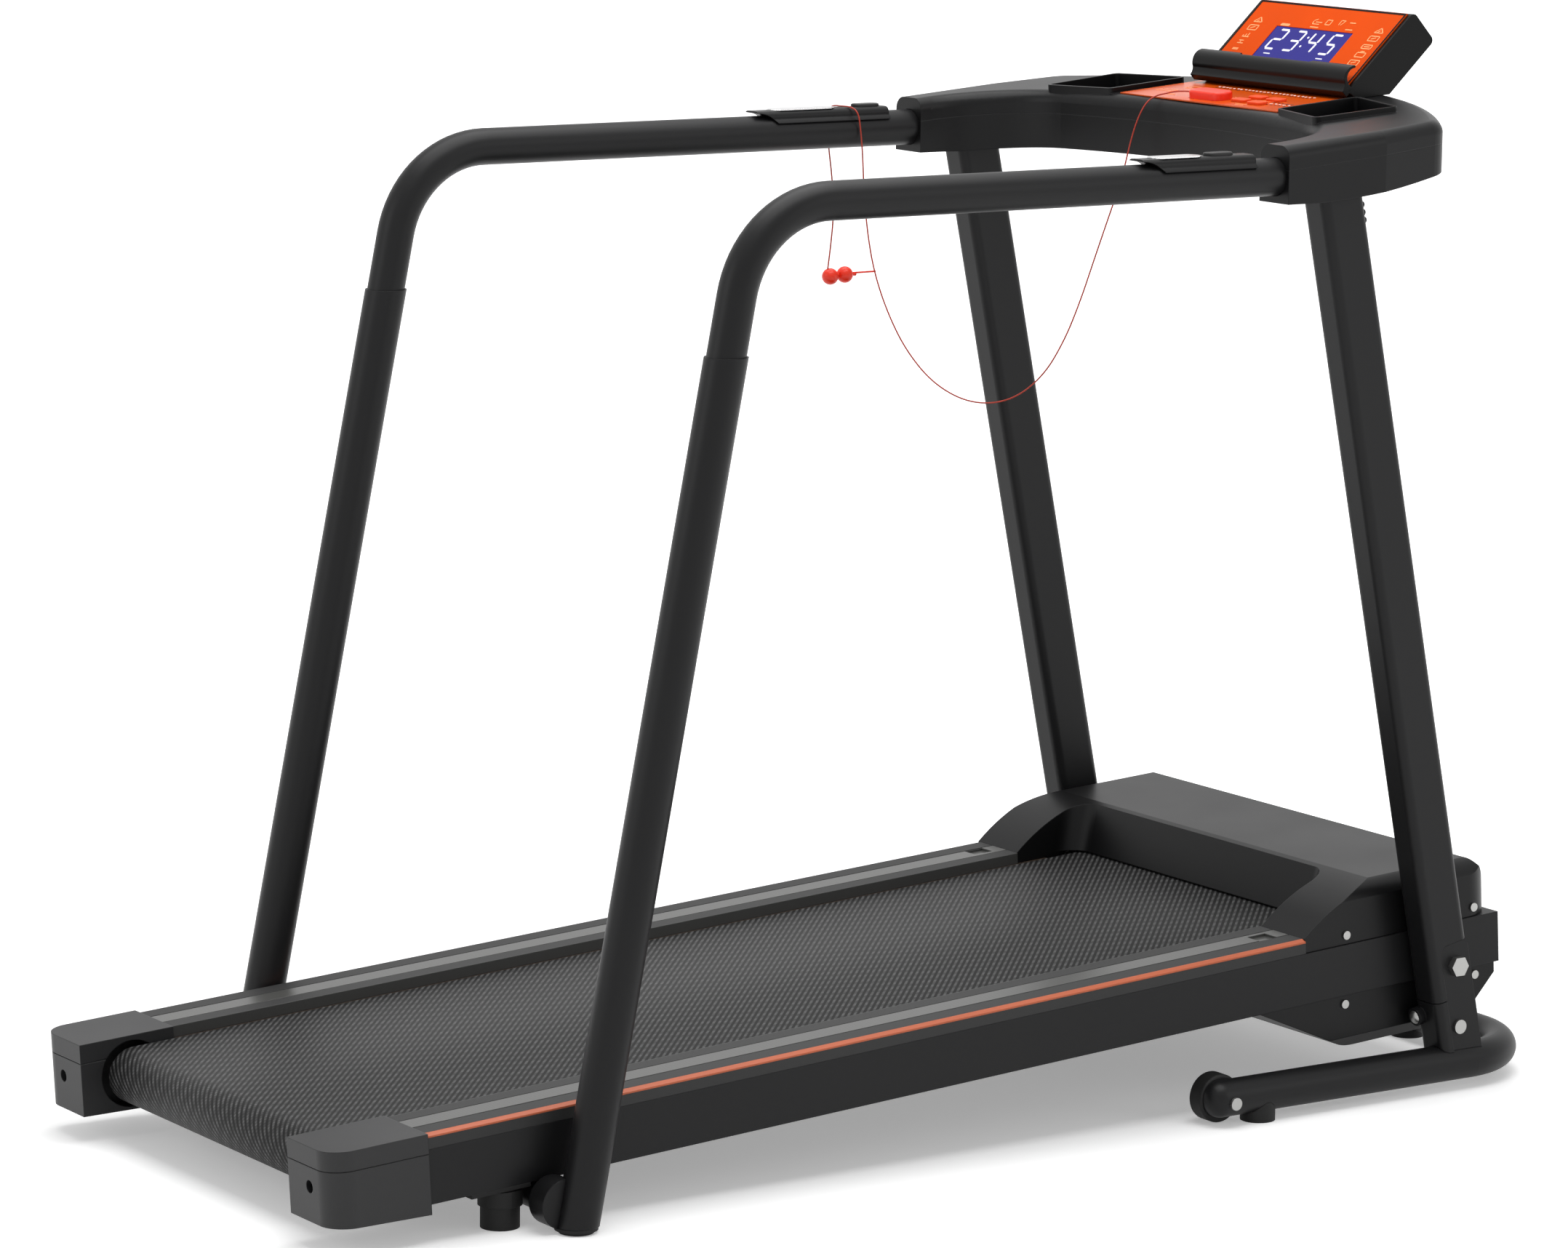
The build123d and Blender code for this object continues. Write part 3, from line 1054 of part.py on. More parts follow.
def cross_members():
    """Three tubes across the deck frame and the plate that carries the motor."""
    reach = FRAME_HALF_WIDTH - FRAME_TUBE_WIDTH
    board_low = ROLLER_HEIGHT + ROLLER_RADIUS + BODY_GAP - BOARD_THICKNESS
    members = []
    pitch = (FRONT_ROLLER - CROSS_MEMBER_LAST_GAP - CROSS_MEMBER_FIRST) / (CROSS_MEMBER_COUNT - 1)
    for number in range(CROSS_MEMBER_COUNT):
        along = CROSS_MEMBER_FIRST + number * pitch
        low = along - CROSS_MEMBER_DEPTH / 2
        high = along + CROSS_MEMBER_DEPTH / 2
        member = block(-reach, reach, low, high, CROSS_MEMBER_LOW, board_low)
        member -= block(-reach - 1, reach + 1, low + FRAME_WALL, high - FRAME_WALL,
                        CROSS_MEMBER_LOW + FRAME_WALL, board_low - FRAME_WALL)
        members.append(DECK_PLACE * member)
    plate = block(-reach, reach, MOTOR_PLATE_REAR, MOTOR_PLATE_REAR + MOTOR_PLATE_LENGTH, FRAME_LOW,
                  FRAME_LOW + MOTOR_PLATE_THICKNESS)
    plate -= block(PULLEY_LEFT - 4, PULLEY_RIGHT + 4, MOTOR_PLATE_REAR - 1,
                   MOTOR_PLATE_REAR + MOTOR_PLATE_NOTCH, 0, FRAME_HIGH)
    members.append(DECK_PLACE * plate)
    return Compound(children=members)


def deck_board():
    """Board under the running belt."""
    high = ROLLER_HEIGHT + ROLLER_RADIUS + BODY_GAP
    return DECK_PLACE * block(-BOARD_HALF_WIDTH, BOARD_HALF_WIDTH, BOARD_REAR, BOARD_FRONT,
                              high - BOARD_THICKNESS, high)


def running_belt():
    """Endless running belt round the two rollers."""
    inner = ROLLER_RADIUS + BODY_GAP
    rear = (REAR_ROLLER, ROLLER_HEIGHT)
    front = (FRONT_ROLLER, ROLLER_HEIGHT)
    loop = belt_loop(rear, inner, front, inner, BELT_THICKNESS, -BELT_HALF_WIDTH, BELT_HALF_WIDTH)
    return DECK_PLACE * loop


def roller(along):
    """Hollow roller with a bearing housing in each end, in the deck's frame."""
    tube = rod_x(ROLLER_RADIUS, -ROLLER_HALF_LENGTH, ROLLER_HALF_LENGTH, along, ROLLER_HEIGHT)
    inside = ROLLER_HALF_LENGTH - ROLLER_END
    tube -= rod_x(ROLLER_RADIUS - ROLLER_WALL, -inside, inside, along, ROLLER_HEIGHT)
    return tube


def roller_bore(along):
    """Bore for a roller's shaft."""
    reach = FRAME_HALF_WIDTH
    return rod_x(ROLLER_SHAFT_RADIUS + SHAFT_CLEARANCE, -reach, reach, along, ROLLER_HEIGHT)


def front_roller():
    """Front roller with the driven pulley on its left end."""
    body = roller(FRONT_ROLLER)
    body += rod_x(ROLLER_PULLEY_RADIUS, PULLEY_LEFT, PULLEY_RIGHT, FRONT_ROLLER, ROLLER_HEIGHT)
    body += rod_x(ROLLER_RADIUS - 6, PULLEY_RIGHT, -ROLLER_HALF_LENGTH, FRONT_ROLLER, ROLLER_HEIGHT)
    return DECK_PLACE * (body - roller_bore(FRONT_ROLLER))


def rear_roller():
    """Rear roller, carried between the end caps."""
    return DECK_PLACE * (roller(REAR_ROLLER) - roller_bore(REAR_ROLLER))


def cap_bolt():
    """Right belt-tension bolt, sunk in the end cap and screwed through the rear shaft."""
    head = rod_y(CAP_HOLE_RADIUS - 0.2, 14, 22, CAP_HOLE_X, ROLLER_HEIGHT)
    return head + rod_y(CAP_HOLE_RADIUS - 2.2, 22, REAR_ROLLER + 20, CAP_HOLE_X, ROLLER_HEIGHT)


def roller_shafts():
    """Fixed shafts of the two rollers."""
    reach = FRAME_HALF_WIDTH - FRAME_TUBE_WIDTH
    front = rod_x(ROLLER_SHAFT_RADIUS, -reach, reach, FRONT_ROLLER, ROLLER_HEIGHT)
    rear = rod_x(ROLLER_SHAFT_RADIUS, -reach, reach, REAR_ROLLER, ROLLER_HEIGHT)
    rear -= cap_bolt()
    rear -= mirrored(cap_bolt())
    return Compound(children=[DECK_PLACE * front, DECK_PLACE * rear])


def rear_cap():
    """Right end cap over the side tube, the rail's end and the roller's shaft."""
    width = CAP_OUTER_X - CAP_INNER_X
    plan = Pos(CAP_INNER_X + width / 2, CAP_FRONT / 2) * Rectangle(width, CAP_FRONT)
    corner = plan.vertices().sort_by(Axis.Y)[:2].sort_by(Axis.X)[-1]
    plan = fillet(corner, CAP_CORNER)
    cap = extrude(plan, CAP_TOP)
    under = [(-1, 0), (-1, CAP_LOW_REAR), (CAP_FRONT + 1, CAP_LOW_FRONT), (CAP_FRONT + 1, 0)]
    cap -= side_profile(under, CAP_INNER_X - 1, CAP_OUTER_X + 1)
    seam = CAP_TOP - CAP_SEAM - CAP_SEAM_WIDTH
    groove = extrude(plan, CAP_SEAM_WIDTH)
    groove -= extrude(offset(plan, amount=-CAP_SEAM_WIDTH), CAP_SEAM_WIDTH)
    cap -= Pos(0, 0, seam) * groove
    inner = FRAME_HALF_WIDTH - FRAME_TUBE_WIDTH
    cap -= block(inner, FRAME_HALF_WIDTH, FRAME_REAR, CAP_FRONT + 1, FRAME_LOW, FRAME_HIGH)
    cap -= rod_x(CAP_POCKET_RADIUS, CAP_INNER_X - 1, CAP_INNER_X + CAP_POCKET_DEPTH,
                 REAR_ROLLER, ROLLER_HEIGHT)
    cap -= rod_x(ROLLER_SHAFT_RADIUS, CAP_INNER_X, inner, REAR_ROLLER, ROLLER_HEIGHT)
    cap -= rod_y(CAP_HOLE_RADIUS, -1, 22, CAP_HOLE_X, ROLLER_HEIGHT)
    cap -= rod_y(CAP_HOLE_RADIUS - 2.2, 20, REAR_ROLLER + 20, CAP_HOLE_X, ROLLER_HEIGHT)
    return DECK_PLACE * cap


def foot_rail():
    """Right foot rail, on the board's edge and the side tube."""
    board_top = ROLLER_HEIGHT + ROLLER_RADIUS + BODY_GAP
    outline = [
        (RAIL_INNER_X, board_top), (BOARD_HALF_WIDTH + 0.2, board_top),
        (BOARD_HALF_WIDTH + 0.2, FRAME_HIGH), (TRIM_OUTER_X, FRAME_HIGH),
        (TRIM_OUTER_X, RAIL_TOP - TRIM_DROP - TRIM_THICKNESS),
        (RAIL_OUTER_X, RAIL_TOP - TRIM_THICKNESS), (RAIL_OUTER_X, RAIL_TOP),
        (RAIL_INNER_X, RAIL_TOP),
    ]
    rail = cross_section(outline, CAP_FRONT, RAIL_FRONT)
    width, length = RECESS_SIZE
    recess_x = RAIL_INNER_X + RECESS_SHIFT
    recess_front = RAIL_FRONT - RECESS_SETBACK
    rail -= block(recess_x, recess_x + width, recess_front - length, recess_front,
                  RAIL_TOP - RECESS_DEPTH, RAIL_TOP + 1)
    for groove in RAIL_GROOVES:
        x = RAIL_INNER_X + groove
        rail -= block(x, x + RAIL_GROOVE_WIDTH, 0, RAIL_FRONT + 1, RAIL_TOP - RAIL_GROOVE_DEPTH, RAIL_TOP + 1)
    return DECK_PLACE * rail


def trim_strip():
    """Right coloured trim strip along the outer edge of the foot rail."""
    outline = [
        (RAIL_OUTER_X, RAIL_TOP), (TRIM_OUTER_X, RAIL_TOP - TRIM_DROP),
        (TRIM_OUTER_X, RAIL_TOP - TRIM_DROP - TRIM_THICKNESS),
        (RAIL_OUTER_X, RAIL_TOP - TRIM_THICKNESS),
    ]
    return DECK_PLACE * cross_section(outline, CAP_FRONT, RAIL_FRONT)


def deck_foot():
    """Right rear deck foot: a plate under the side tube and a round rubber foot."""
    foot = rod_z(DECK_FOOT_RADIUS, 0, 3 * DECK_FOOT_COLLAR_HIGH, DECK_FOOT_X, DECK_FOOT_Y)
    foot += rod_z(DECK_FOOT_COLLAR_RADIUS, DECK_FOOT_COLLAR_LOW, DECK_FOOT_COLLAR_HIGH,
                  DECK_FOOT_X, DECK_FOOT_Y)
    along = deck_point(DECK_FOOT_Y, DECK_FOOT_COLLAR_HIGH)[0]
    inner = FRAME_HALF_WIDTH - 2 * DECK_FOOT_COLLAR_RADIUS
    plate = block(inner, FRAME_HALF_WIDTH, along - DECK_FOOT_PLATE_REAR,
                  along + DECK_FOOT_PLATE_FRONT, FRAME_LOW - DECK_FOOT_PLATE, FRAME_LOW)
    foot += DECK_PLACE * plate
    foot -= DECK_PLACE * block(0, CAP_OUTER_X, 0, CAP_FRONT * 4, FRAME_LOW, CAP_TOP * 2)
    return foot


# ---------------------------------------------------------------- hood and pan
def hood_bay(inset):
    """Space over the belt between the hood's arms, grown by inset, ending at the leaning rear face."""
    length = HOOD_FRONT_LOW - RAIL_FRONT
    half = HOOD_ARM_INNER + inset
    plan = Pos(0, -length) * RectangleRounded(2 * half, 2 * length, HOOD_ARM_CORNER + inset)
    space = Pos(0, HOOD_REAR_LOW + inset, FRAME_HIGH) * Rot(-HOOD_REAR_LEAN, 0, 0) * extrude(
        plan, 2 * HOOD_TOP, both=True)
    return space


def hood_solid(inset):
    """The hood's outer form, drawn in by inset; open below where inset."""
    low = FRAME_HIGH - (1 if inset else 0)
    top = HOOD_TOP - inset
    start = RAIL_FRONT + inset
    mid_shift, mid_height = HOOD_ARM_MID
    corners = [
        (RAIL_FRONT + HOOD_ARM_END, top), (HOOD_FRONT_TOP - inset, top),
        (HOOD_FRONT_MID - inset, HOOD_FRONT_MID_HEIGHT), (HOOD_FRONT_LOW - inset, low),
        (start, low), (start, RAIL_TOP - inset),
    ]
    outline = [Line(here, after) for here, after in zip(corners, corners[1:])]
    middle = (RAIL_FRONT + mid_shift, mid_height - inset)
    outline.append(ThreePointArc(corners[-1], middle, corners[0]))
    body = extrude(Plane.YZ * make_face(Curve() + outline), REACH, both=True)
    half = HOOD_HALF_WIDTH - inset
    top_half = HOOD_TOP_HALF_WIDTH - inset
    shoulder_in, shoulder_height = HOOD_SHOULDER_MID
    reach = half + HOOD_SHOULDER_REACH
    section = [Line((-reach, low), (reach, low)), Line((-top_half, top), (top_half, top))]
    for side in (-1, 1):
        shoulder = (side * reach, HOOD_SHOULDER - inset)
        middle = (side * (half - shoulder_in), shoulder_height - inset)
        section.append(Line((side * reach, low), shoulder))
        section.append(ThreePointArc(shoulder, middle, (side * top_half, top)))
    envelope = extrude(Plane.XZ * make_face(Curve() + section), REACH, both=True)
    plan_length = 2 * (HOOD_FRONT_LOW - inset - PAN_REAR)
    plan = Pos(0, PAN_REAR) * RectangleRounded(2 * half, plan_length, HOOD_FRONT_CORNER)
    return body & envelope & extrude(plan, 2 * HOOD_TOP) - hood_bay(inset)


def hood():
    """Motor hood, an open-bottomed shell that stands on the side tubes."""
    outer = hood_solid(0)
    lip = outer.edges().filter_by(Axis.X).filter_by_position(Axis.Z, HOOD_TOP - 1, HOOD_TOP + 1)
    outer = fillet(lip, HOOD_EDGE)
    shell = outer - hood_solid(HOOD_WALL)
    board_top = ROLLER_HEIGHT + ROLLER_RADIUS + BODY_GAP
    belt_room = board_top + BELT_THICKNESS + HOOD_BELT_GAP
    shell -= block(-HOOD_ARM_INNER, HOOD_ARM_INNER, RAIL_FRONT, HOOD_REAR_LOW + 4 * HOOD_WALL, 0, belt_room)
    board_side = BOARD_HALF_WIDTH + HOOD_BELT_GAP
    shell -= block(-board_side, board_side, RAIL_FRONT - 1, BOARD_FRONT + HOOD_BELT_GAP, 0,
                   board_top + BODY_GAP)
    return DECK_PLACE * shell


def pan_solid(inset):
    """The belly pan's outer form, drawn in by inset; open above where inset."""
    high = FRAME_LOW + (1 if inset else 0)
    low = PAN_LOW + inset
    outline = [
        (PAN_REAR + 2 * inset, high), (PAN_KEEL_REAR, low), (PAN_KEEL_FRONT, low),
        (HOOD_FRONT_LOW - 1 - inset, FRAME_LOW - 12), (HOOD_FRONT_LOW - 1 - inset, high),
    ]
    half = PAN_HALF_WIDTH - inset
    width_outline = [
        (-half, high), (half, high), (half, low + PAN_CORNER), (half - PAN_CORNER, low),
        (PAN_CORNER - half, low), (-half, low + PAN_CORNER),
    ]
    envelope = cross_section(width_outline, PAN_REAR, HOOD_FRONT_LOW)
    body = side_profile(outline, -half, half)
    keel = body.edges().filter_by(Axis.X).group_by(Axis.Z)[0]
    return fillet(keel, PAN_KEEL_RADIUS) & envelope


def belly_pan():
    """Belly pan under the motor, with the front panel between the side tubes."""
    pan = pan_solid(0) - pan_solid(PAN_WALL)
    reach = FRAME_HALF_WIDTH - FRAME_TUBE_WIDTH
    front = HOOD_FRONT_LOW - 1
    pan += block(-reach, reach, front - PAN_WALL, front, FRAME_LOW - 6, FRAME_HIGH)
    for x, (wide, tall) in ((INLET_X, INLET_SIZE), (SWITCH_X, SWITCH_SIZE)):
        pan -= block(x - wide / 2, x + wide / 2, front - 2 * PAN_WALL, front + 1,
                     PANEL_HEIGHT - tall / 2, PANEL_HEIGHT + tall / 2)
    return DECK_PLACE * pan


def cover_screws():
    """Round-headed screws of the hood and the pan, on both sides."""
    places = [HOOD_FRONT_LOW - setback for setback in HOOD_SCREWS]
    hood = [(HOOD_HALF_WIDTH, along, along, HOOD_SCREW_HEIGHT) for along in places]
    rear, front = (HOOD_FRONT_LOW - setback for setback in PAN_SCREWS)
    pan = [
        (PAN_HALF_WIDTH, rear, rear, PAN_SCREW_HEIGHT),
        (PAN_HALF_WIDTH, front, front - PAN_SCREW_SHIFT, PAN_SCREW_HEIGHT),
    ]
    heads = []
    for face, right, left, height in hood + pan:
        outer = face + SCREW_HEAD_HEIGHT
        heads.append(DECK_PLACE * rod_x(SCREW_HEAD_RADIUS, face, outer, right, height))
        heads.append(DECK_PLACE * rod_x(SCREW_HEAD_RADIUS, -outer, -face, left, height))
    return Compound(children=heads)


# ---------------------------------------------------------------- drive
def motor():
    """Drive motor on its feet, with a bearing bore for the rotor's shaft."""
    height = motor_height()
    body = rod_x(MOTOR_RADIUS, MOTOR_LEFT, MOTOR_RIGHT, MOTOR_ALONG, height)
    half = MOTOR_FOOT_WIDTH / 2
    body += block(MOTOR_LEFT + 20, MOTOR_RIGHT - 20, MOTOR_ALONG - half, MOTOR_ALONG + half,
                  FRAME_LOW + MOTOR_PLATE_THICKNESS, height)
    body -= rod_x(MOTOR_SHAFT_RADIUS + SHAFT_CLEARANCE, MOTOR_LEFT - 1, MOTOR_LEFT + 41,
                  MOTOR_ALONG, height)
    return DECK_PLACE * body


def motor_height():
    """Height of the motor's axis in the deck's frame."""
    return FRAME_LOW + MOTOR_PLATE_THICKNESS + MOTOR_RADIUS + 2


def flywheel():
    """Motor's shaft with its flywheel and small pulley."""
    height = motor_height()
    rotor = rod_x(MOTOR_SHAFT_RADIUS, PULLEY_LEFT - 2, MOTOR_LEFT + 40, MOTOR_ALONG, height)
    rotor += rod_x(FLYWHEEL_RADIUS, FLYWHEEL_LEFT, FLYWHEEL_RIGHT, MOTOR_ALONG, height)
    rotor += rod_x(MOTOR_PULLEY_RADIUS, PULLEY_LEFT, PULLEY_RIGHT, MOTOR_ALONG, height)
    return DECK_PLACE * rotor


def drive_belt():
    """Belt from the motor's pulley to the front roller's."""
    loop = belt_loop(
        (FRONT_ROLLER, ROLLER_HEIGHT), ROLLER_PULLEY_RADIUS + BODY_GAP,
        (MOTOR_ALONG, motor_height()), MOTOR_PULLEY_RADIUS + BODY_GAP,
        DRIVE_BELT_THICKNESS, PULLEY_LEFT + DRIVE_BELT_EDGE, PULLEY_RIGHT - DRIVE_BELT_EDGE
    )
    return DECK_PLACE * loop


def motor_controller():
    """Motor controller box on the motor plate."""
    width, length, height = CONTROLLER_SIZE
    x = CONTROLLER_X
    low = FRAME_LOW + MOTOR_PLATE_THICKNESS
    return DECK_PLACE * block(x - width / 2, x + width / 2, CONTROLLER_ALONG - length / 2,
                              CONTROLLER_ALONG + length / 2, low, low + height)


def power_inlet():
    """Appliance inlet and switch frame in the front panel."""
    front = HOOD_FRONT_LOW - 1
    width, height = INLET_SIZE
    switch_width, switch_height = SWITCH_SIZE
    flange_low = INLET_X - width / 2 - 4
    flange_high = SWITCH_X + switch_width / 2 + 4
    body = block(flange_low, flange_high, front, front + INLET_PROUD,
                 PANEL_HEIGHT - height / 2 - 4, PANEL_HEIGHT + height / 2 + 4)
    for x, wide, tall in ((INLET_X, width, height), (SWITCH_X, switch_width, switch_height)):
        body += block(x - wide / 2, x + wide / 2, front - INLET_DEPTH, front,
                      PANEL_HEIGHT - tall / 2, PANEL_HEIGHT + tall / 2)
    body -= block(INLET_X - 14, INLET_X + 14, front - INLET_DEPTH + 4, front + INLET_PROUD + 1,
                  PANEL_HEIGHT - 9, PANEL_HEIGHT + 9)
    for offset_x in (-7, 0, 7):
        body += block(INLET_X + offset_x - 1, INLET_X + offset_x + 1, front - INLET_DEPTH + 4,
                      front - 2, PANEL_HEIGHT - 2, PANEL_HEIGHT + 2)
    well = rod_x(SWITCH_ROCK_RADIUS + BODY_GAP, SWITCH_X - switch_width / 2 + 2,
                 SWITCH_X + switch_width / 2 - 2, front - SWITCH_ROCK_RADIUS + 4, PANEL_HEIGHT)
    body -= well & block(-REACH, REACH, 0, REACH, PANEL_HEIGHT - 9, PANEL_HEIGHT + 9)
    return DECK_PLACE * body


def power_switch():
    """Rocker of the power switch."""
    front = HOOD_FRONT_LOW - 1
    centre = front - SWITCH_ROCK_RADIUS + 4
    half = SWITCH_SIZE[0] / 2 - 2.4
    rocker = rod_x(SWITCH_ROCK_RADIUS, SWITCH_X - half, SWITCH_X + half, centre, PANEL_HEIGHT)
    slab = block(SWITCH_X - half - 1, SWITCH_X + half + 1, centre - 3, centre + 2 * SWITCH_ROCK_RADIUS,
                 PANEL_HEIGHT - 7, PANEL_HEIGHT + 7)
    return DECK_PLACE * (rocker & slab)


# ---------------------------------------------------------------- safety cord
def cord_radii(points):
    """Bend radius at each inner point: as large as its two runs allow."""
    radii = []
    for before, here, after in zip(points, points[1:], points[2:]):
        arriving = Vector(*here) - Vector(*before)
        leaving = Vector(*after) - Vector(*here)
        half_turn = math.radians(arriving.get_angle(leaving)) / 2
        shorter = min(arriving.length, leaving.length)
        radii.append(CORD_ARC_SHARE * shorter / math.tan(half_turn))
    return radii


def safety_cord():
    """Cord from the safety key over the console's edge, down and over the left handrail."""
    radii = cord_radii(CORD_ROUTE)
    print("cord radii:", ", ".join(f"{radius:.0f}" for radius in radii))
    path = FilletPolyline(*CORD_ROUTE, radius=radii)
    section = Plane(origin=path @ 0, z_dir=path % 0) * Circle(CORD_RADIUS)
    cord = sweep(section, path=path)
    expected = math.pi * CORD_RADIUS**2 * path.length
    print(f"cord length {path.length:.1f}, volume {cord.volume / expected:.4f} of section times length")
    return cord


def cord_clip():
    """Clothes clip on the cord's end: two round knobs and a steel pin."""
    x, y, z = CORD_ROUTE[-1]
    ball_z = z - CLIP_BALL_DROP
    jaw_z = ball_z + CLIP_JAW_RISE
    ball_y, jaw_y = (y + ahead for ahead in CLIP_KNOBS)
    clip = Pos(x, ball_y, ball_z) * Sphere(CLIP_BALL_RADIUS) + Pos(x, jaw_y, jaw_z) * Sphere(CLIP_BALL_RADIUS)
    clip += rod_y(CLIP_BAR_RADIUS, ball_y, y + CLIP_BAR_REACH, x, jaw_z)
    return clip + rod_y(CLIP_PIN_RADIUS, jaw_y, y + CLIP_PIN_REACH, x, jaw_z + CLIP_PIN_RISE)


# ---------------------------------------------------------------- nodes
def nodes():
    """Every node of the treadmill, by name."""
    parts = {
        "base_tube": base_tube(),
        "base_brackets": pair(base_bracket()),
        "rubber_feet": rubber_feet(),
        "pivot_bolts": pair(pivot_bolt()),
        "post_cross_tube": post_cross_tube(),
        "cable_clip": cable_clip(),
    }
    dome = dome_bolt(DOME_HEIGHT / 2)
    bolts = [bracket_pin(), dome, mirrored(dome), wheel_bolt(), mirrored(wheel_bolt())]
    parts["frame_bolts"] = Compound(children=bolts)
    parts["lock_pin"] = mirrored(lock_pin())
    parts["side_tube_right"] = side_tube(False)
    parts["side_tube_left"] = mirrored(side_tube(True))
    sided = {
        "upright": upright(), "post": post(), "handrail": handrail(), "wheel": wheel(),
        "foot_rail": foot_rail(), "rear_cap": rear_cap(),
    }
    for name, shape in sided.items():
        parts[f"{name}_right"] = shape
        parts[f"{name}_left"] = mirrored(shape)
    right_pad, right_plate, right_key = grip(PAD_RIGHT, PLATE_RIGHT, GRIP_KEY_RIGHT_Y)
    left_pad, left_plate, left_key = grip(PAD_LEFT, PLATE_LEFT, GRIP_KEY_LEFT_Y)
    parts["grip_pad_right"] = right_pad
    parts["grip_pad_left"] = mirrored(left_pad)
    parts["grip_key_right"] = right_key
    parts["grip_key_left"] = mirrored(left_key)
    parts["pulse_plates"] = Compound(children=[right_plate, mirrored(left_plate)])
    parts["console_lower"], parts["console_upper"] = console_shells()
    parts["control_panel"] = control_panel()
    for name, (x, y) in CONSOLE_KEYS.items():
        parts[name] = console_key(x, y)
    parts["safety_key"] = safety_key()
    parts["console_board"] = console_board()
    parts["monitor_shell"] = monitor_shell()
    parts["monitor_fascia"] = monitor_fascia()
    parts["display_window"] = display_window()
    parts["tablet_ledge"] = tablet_ledge()
    parts["cross_members"] = cross_members()
    parts["deck_board"] = deck_board()
    parts["running_belt"] = running_belt()
    parts["front_roller"] = front_roller()
    parts["rear_roller"] = rear_roller()
    parts["roller_shafts"] = roller_shafts()
    parts["cap_bolts"] = pair(DECK_PLACE * cap_bolt())
    parts["trim_strips"] = pair(trim_strip())
    parts["deck_feet"] = pair(deck_foot())
    parts["hood"] = hood()
    parts["belly_pan"] = belly_pan()
    parts["cover_screws"] = cover_screws()
    parts["motor"] = motor()
    parts["flywheel"] = flywheel()
    parts["drive_belt"] = drive_belt()
    parts["motor_controller"] = motor_controller()
    parts["power_inlet"] = power_inlet()
    parts["power_switch"] = power_switch()
    cord = safety_cord()
    parts["safety_cord"] = cord
    parts["cord_clip"] = cord_clip() - cord
    return parts


os.makedirs("parts", exist_ok=True)
for node_name, node_shape in nodes().items():
    export_step(node_shape, f"parts/{node_name}.step")
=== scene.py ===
import json
import logging
import math
from dataclasses import dataclass, field
from enum import Enum

import bmesh
import bpy
import numpy as np
from mathutils import Matrix, Vector


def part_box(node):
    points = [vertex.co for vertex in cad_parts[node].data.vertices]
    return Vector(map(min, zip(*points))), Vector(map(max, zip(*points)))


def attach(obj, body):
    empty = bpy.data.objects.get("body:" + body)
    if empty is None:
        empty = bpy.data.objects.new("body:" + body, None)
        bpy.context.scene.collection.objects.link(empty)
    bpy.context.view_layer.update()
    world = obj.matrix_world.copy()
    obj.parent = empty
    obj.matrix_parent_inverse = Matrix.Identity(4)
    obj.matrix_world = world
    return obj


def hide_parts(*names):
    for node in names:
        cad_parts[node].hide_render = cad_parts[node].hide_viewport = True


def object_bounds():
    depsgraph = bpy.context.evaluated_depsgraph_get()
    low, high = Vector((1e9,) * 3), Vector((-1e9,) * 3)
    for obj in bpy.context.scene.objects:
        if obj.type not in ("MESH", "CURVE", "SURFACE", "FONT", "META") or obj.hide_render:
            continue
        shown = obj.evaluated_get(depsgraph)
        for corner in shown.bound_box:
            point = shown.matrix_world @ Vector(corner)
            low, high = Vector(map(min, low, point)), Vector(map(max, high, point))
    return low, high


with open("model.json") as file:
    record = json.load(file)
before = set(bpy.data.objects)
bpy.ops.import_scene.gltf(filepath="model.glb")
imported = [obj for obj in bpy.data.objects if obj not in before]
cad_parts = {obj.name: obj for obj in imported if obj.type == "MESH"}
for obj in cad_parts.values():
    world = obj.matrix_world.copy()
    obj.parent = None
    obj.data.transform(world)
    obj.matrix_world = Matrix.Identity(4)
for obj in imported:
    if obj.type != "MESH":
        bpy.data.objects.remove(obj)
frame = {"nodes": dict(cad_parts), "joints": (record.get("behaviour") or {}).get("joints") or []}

log = logging.getLogger("treadmill")

CAD_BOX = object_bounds()

MM_PER_M = 1000.0
WAVE_TURN = math.pi / 10.0       # a wave texture repeats after this over its scale, in metres
BEVEL_SAMPLES = 6
CLEAR_BLACK = (0.0, 0.0, 0.0, 1.0)
FASCIA_TILT = 42.8               # degrees by which the display panel rises to the front
KEYPAD_TILT = 4.84               # the same for the keypad
FASCIA_THICKNESS = 0.0015        # metres, as packed
BELT_THICKNESS = 0.0017          # metres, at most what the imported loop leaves
RIB_GAP = 0.003                  # metres from rib to rib on a foot rail
STROKE_CORNERS = 6


# ------------------------------------------------------------------ small tools
def linear(code: str) -> tuple[float, float, float, float]:
    """Turn an sRGB hex code into a linear colour.

    Args:
        code: Six hex digits, such as "FF5A10".

    Returns:
        Red, green, blue and a full alpha, each from 0 to 1.
    """
    shares = np.array([int(code[i:i + 2], 16) for i in (0, 2, 4)]) / 255.0
    low = shares / 12.92
    high = ((shares + 0.055) / 1.055) ** 2.4
    red, green, blue = np.where(shares <= 0.04045, low, high)
    return float(red), float(green), float(blue), 1.0


def add_node(tree: bpy.types.NodeTree, kind: str, links: dict | None = None,
             **settings) -> bpy.types.Node:
    """Add a shader node with its settings and its links.

    Args:
        tree: Node tree that gets the node.
        kind: Blender's name of the node type.
        links: Input name or number to the output socket that feeds it.
        **settings: Node properties, or "in_..." for the value of an input, with spaces as "_".

    Returns:
        The new node.
    """
    node = tree.nodes.new(kind)
    for name, value in settings.items():
        if name.startswith("in_"):
            label = name[3:]
            key = int(label) if label.isdigit() else label.replace("_", " ")
            node.inputs[key].default_value = value
        else:
            setattr(node, name, value)
    for name, socket in (links or {}).items():
        tree.links.new(socket, node.inputs[name])
    return node


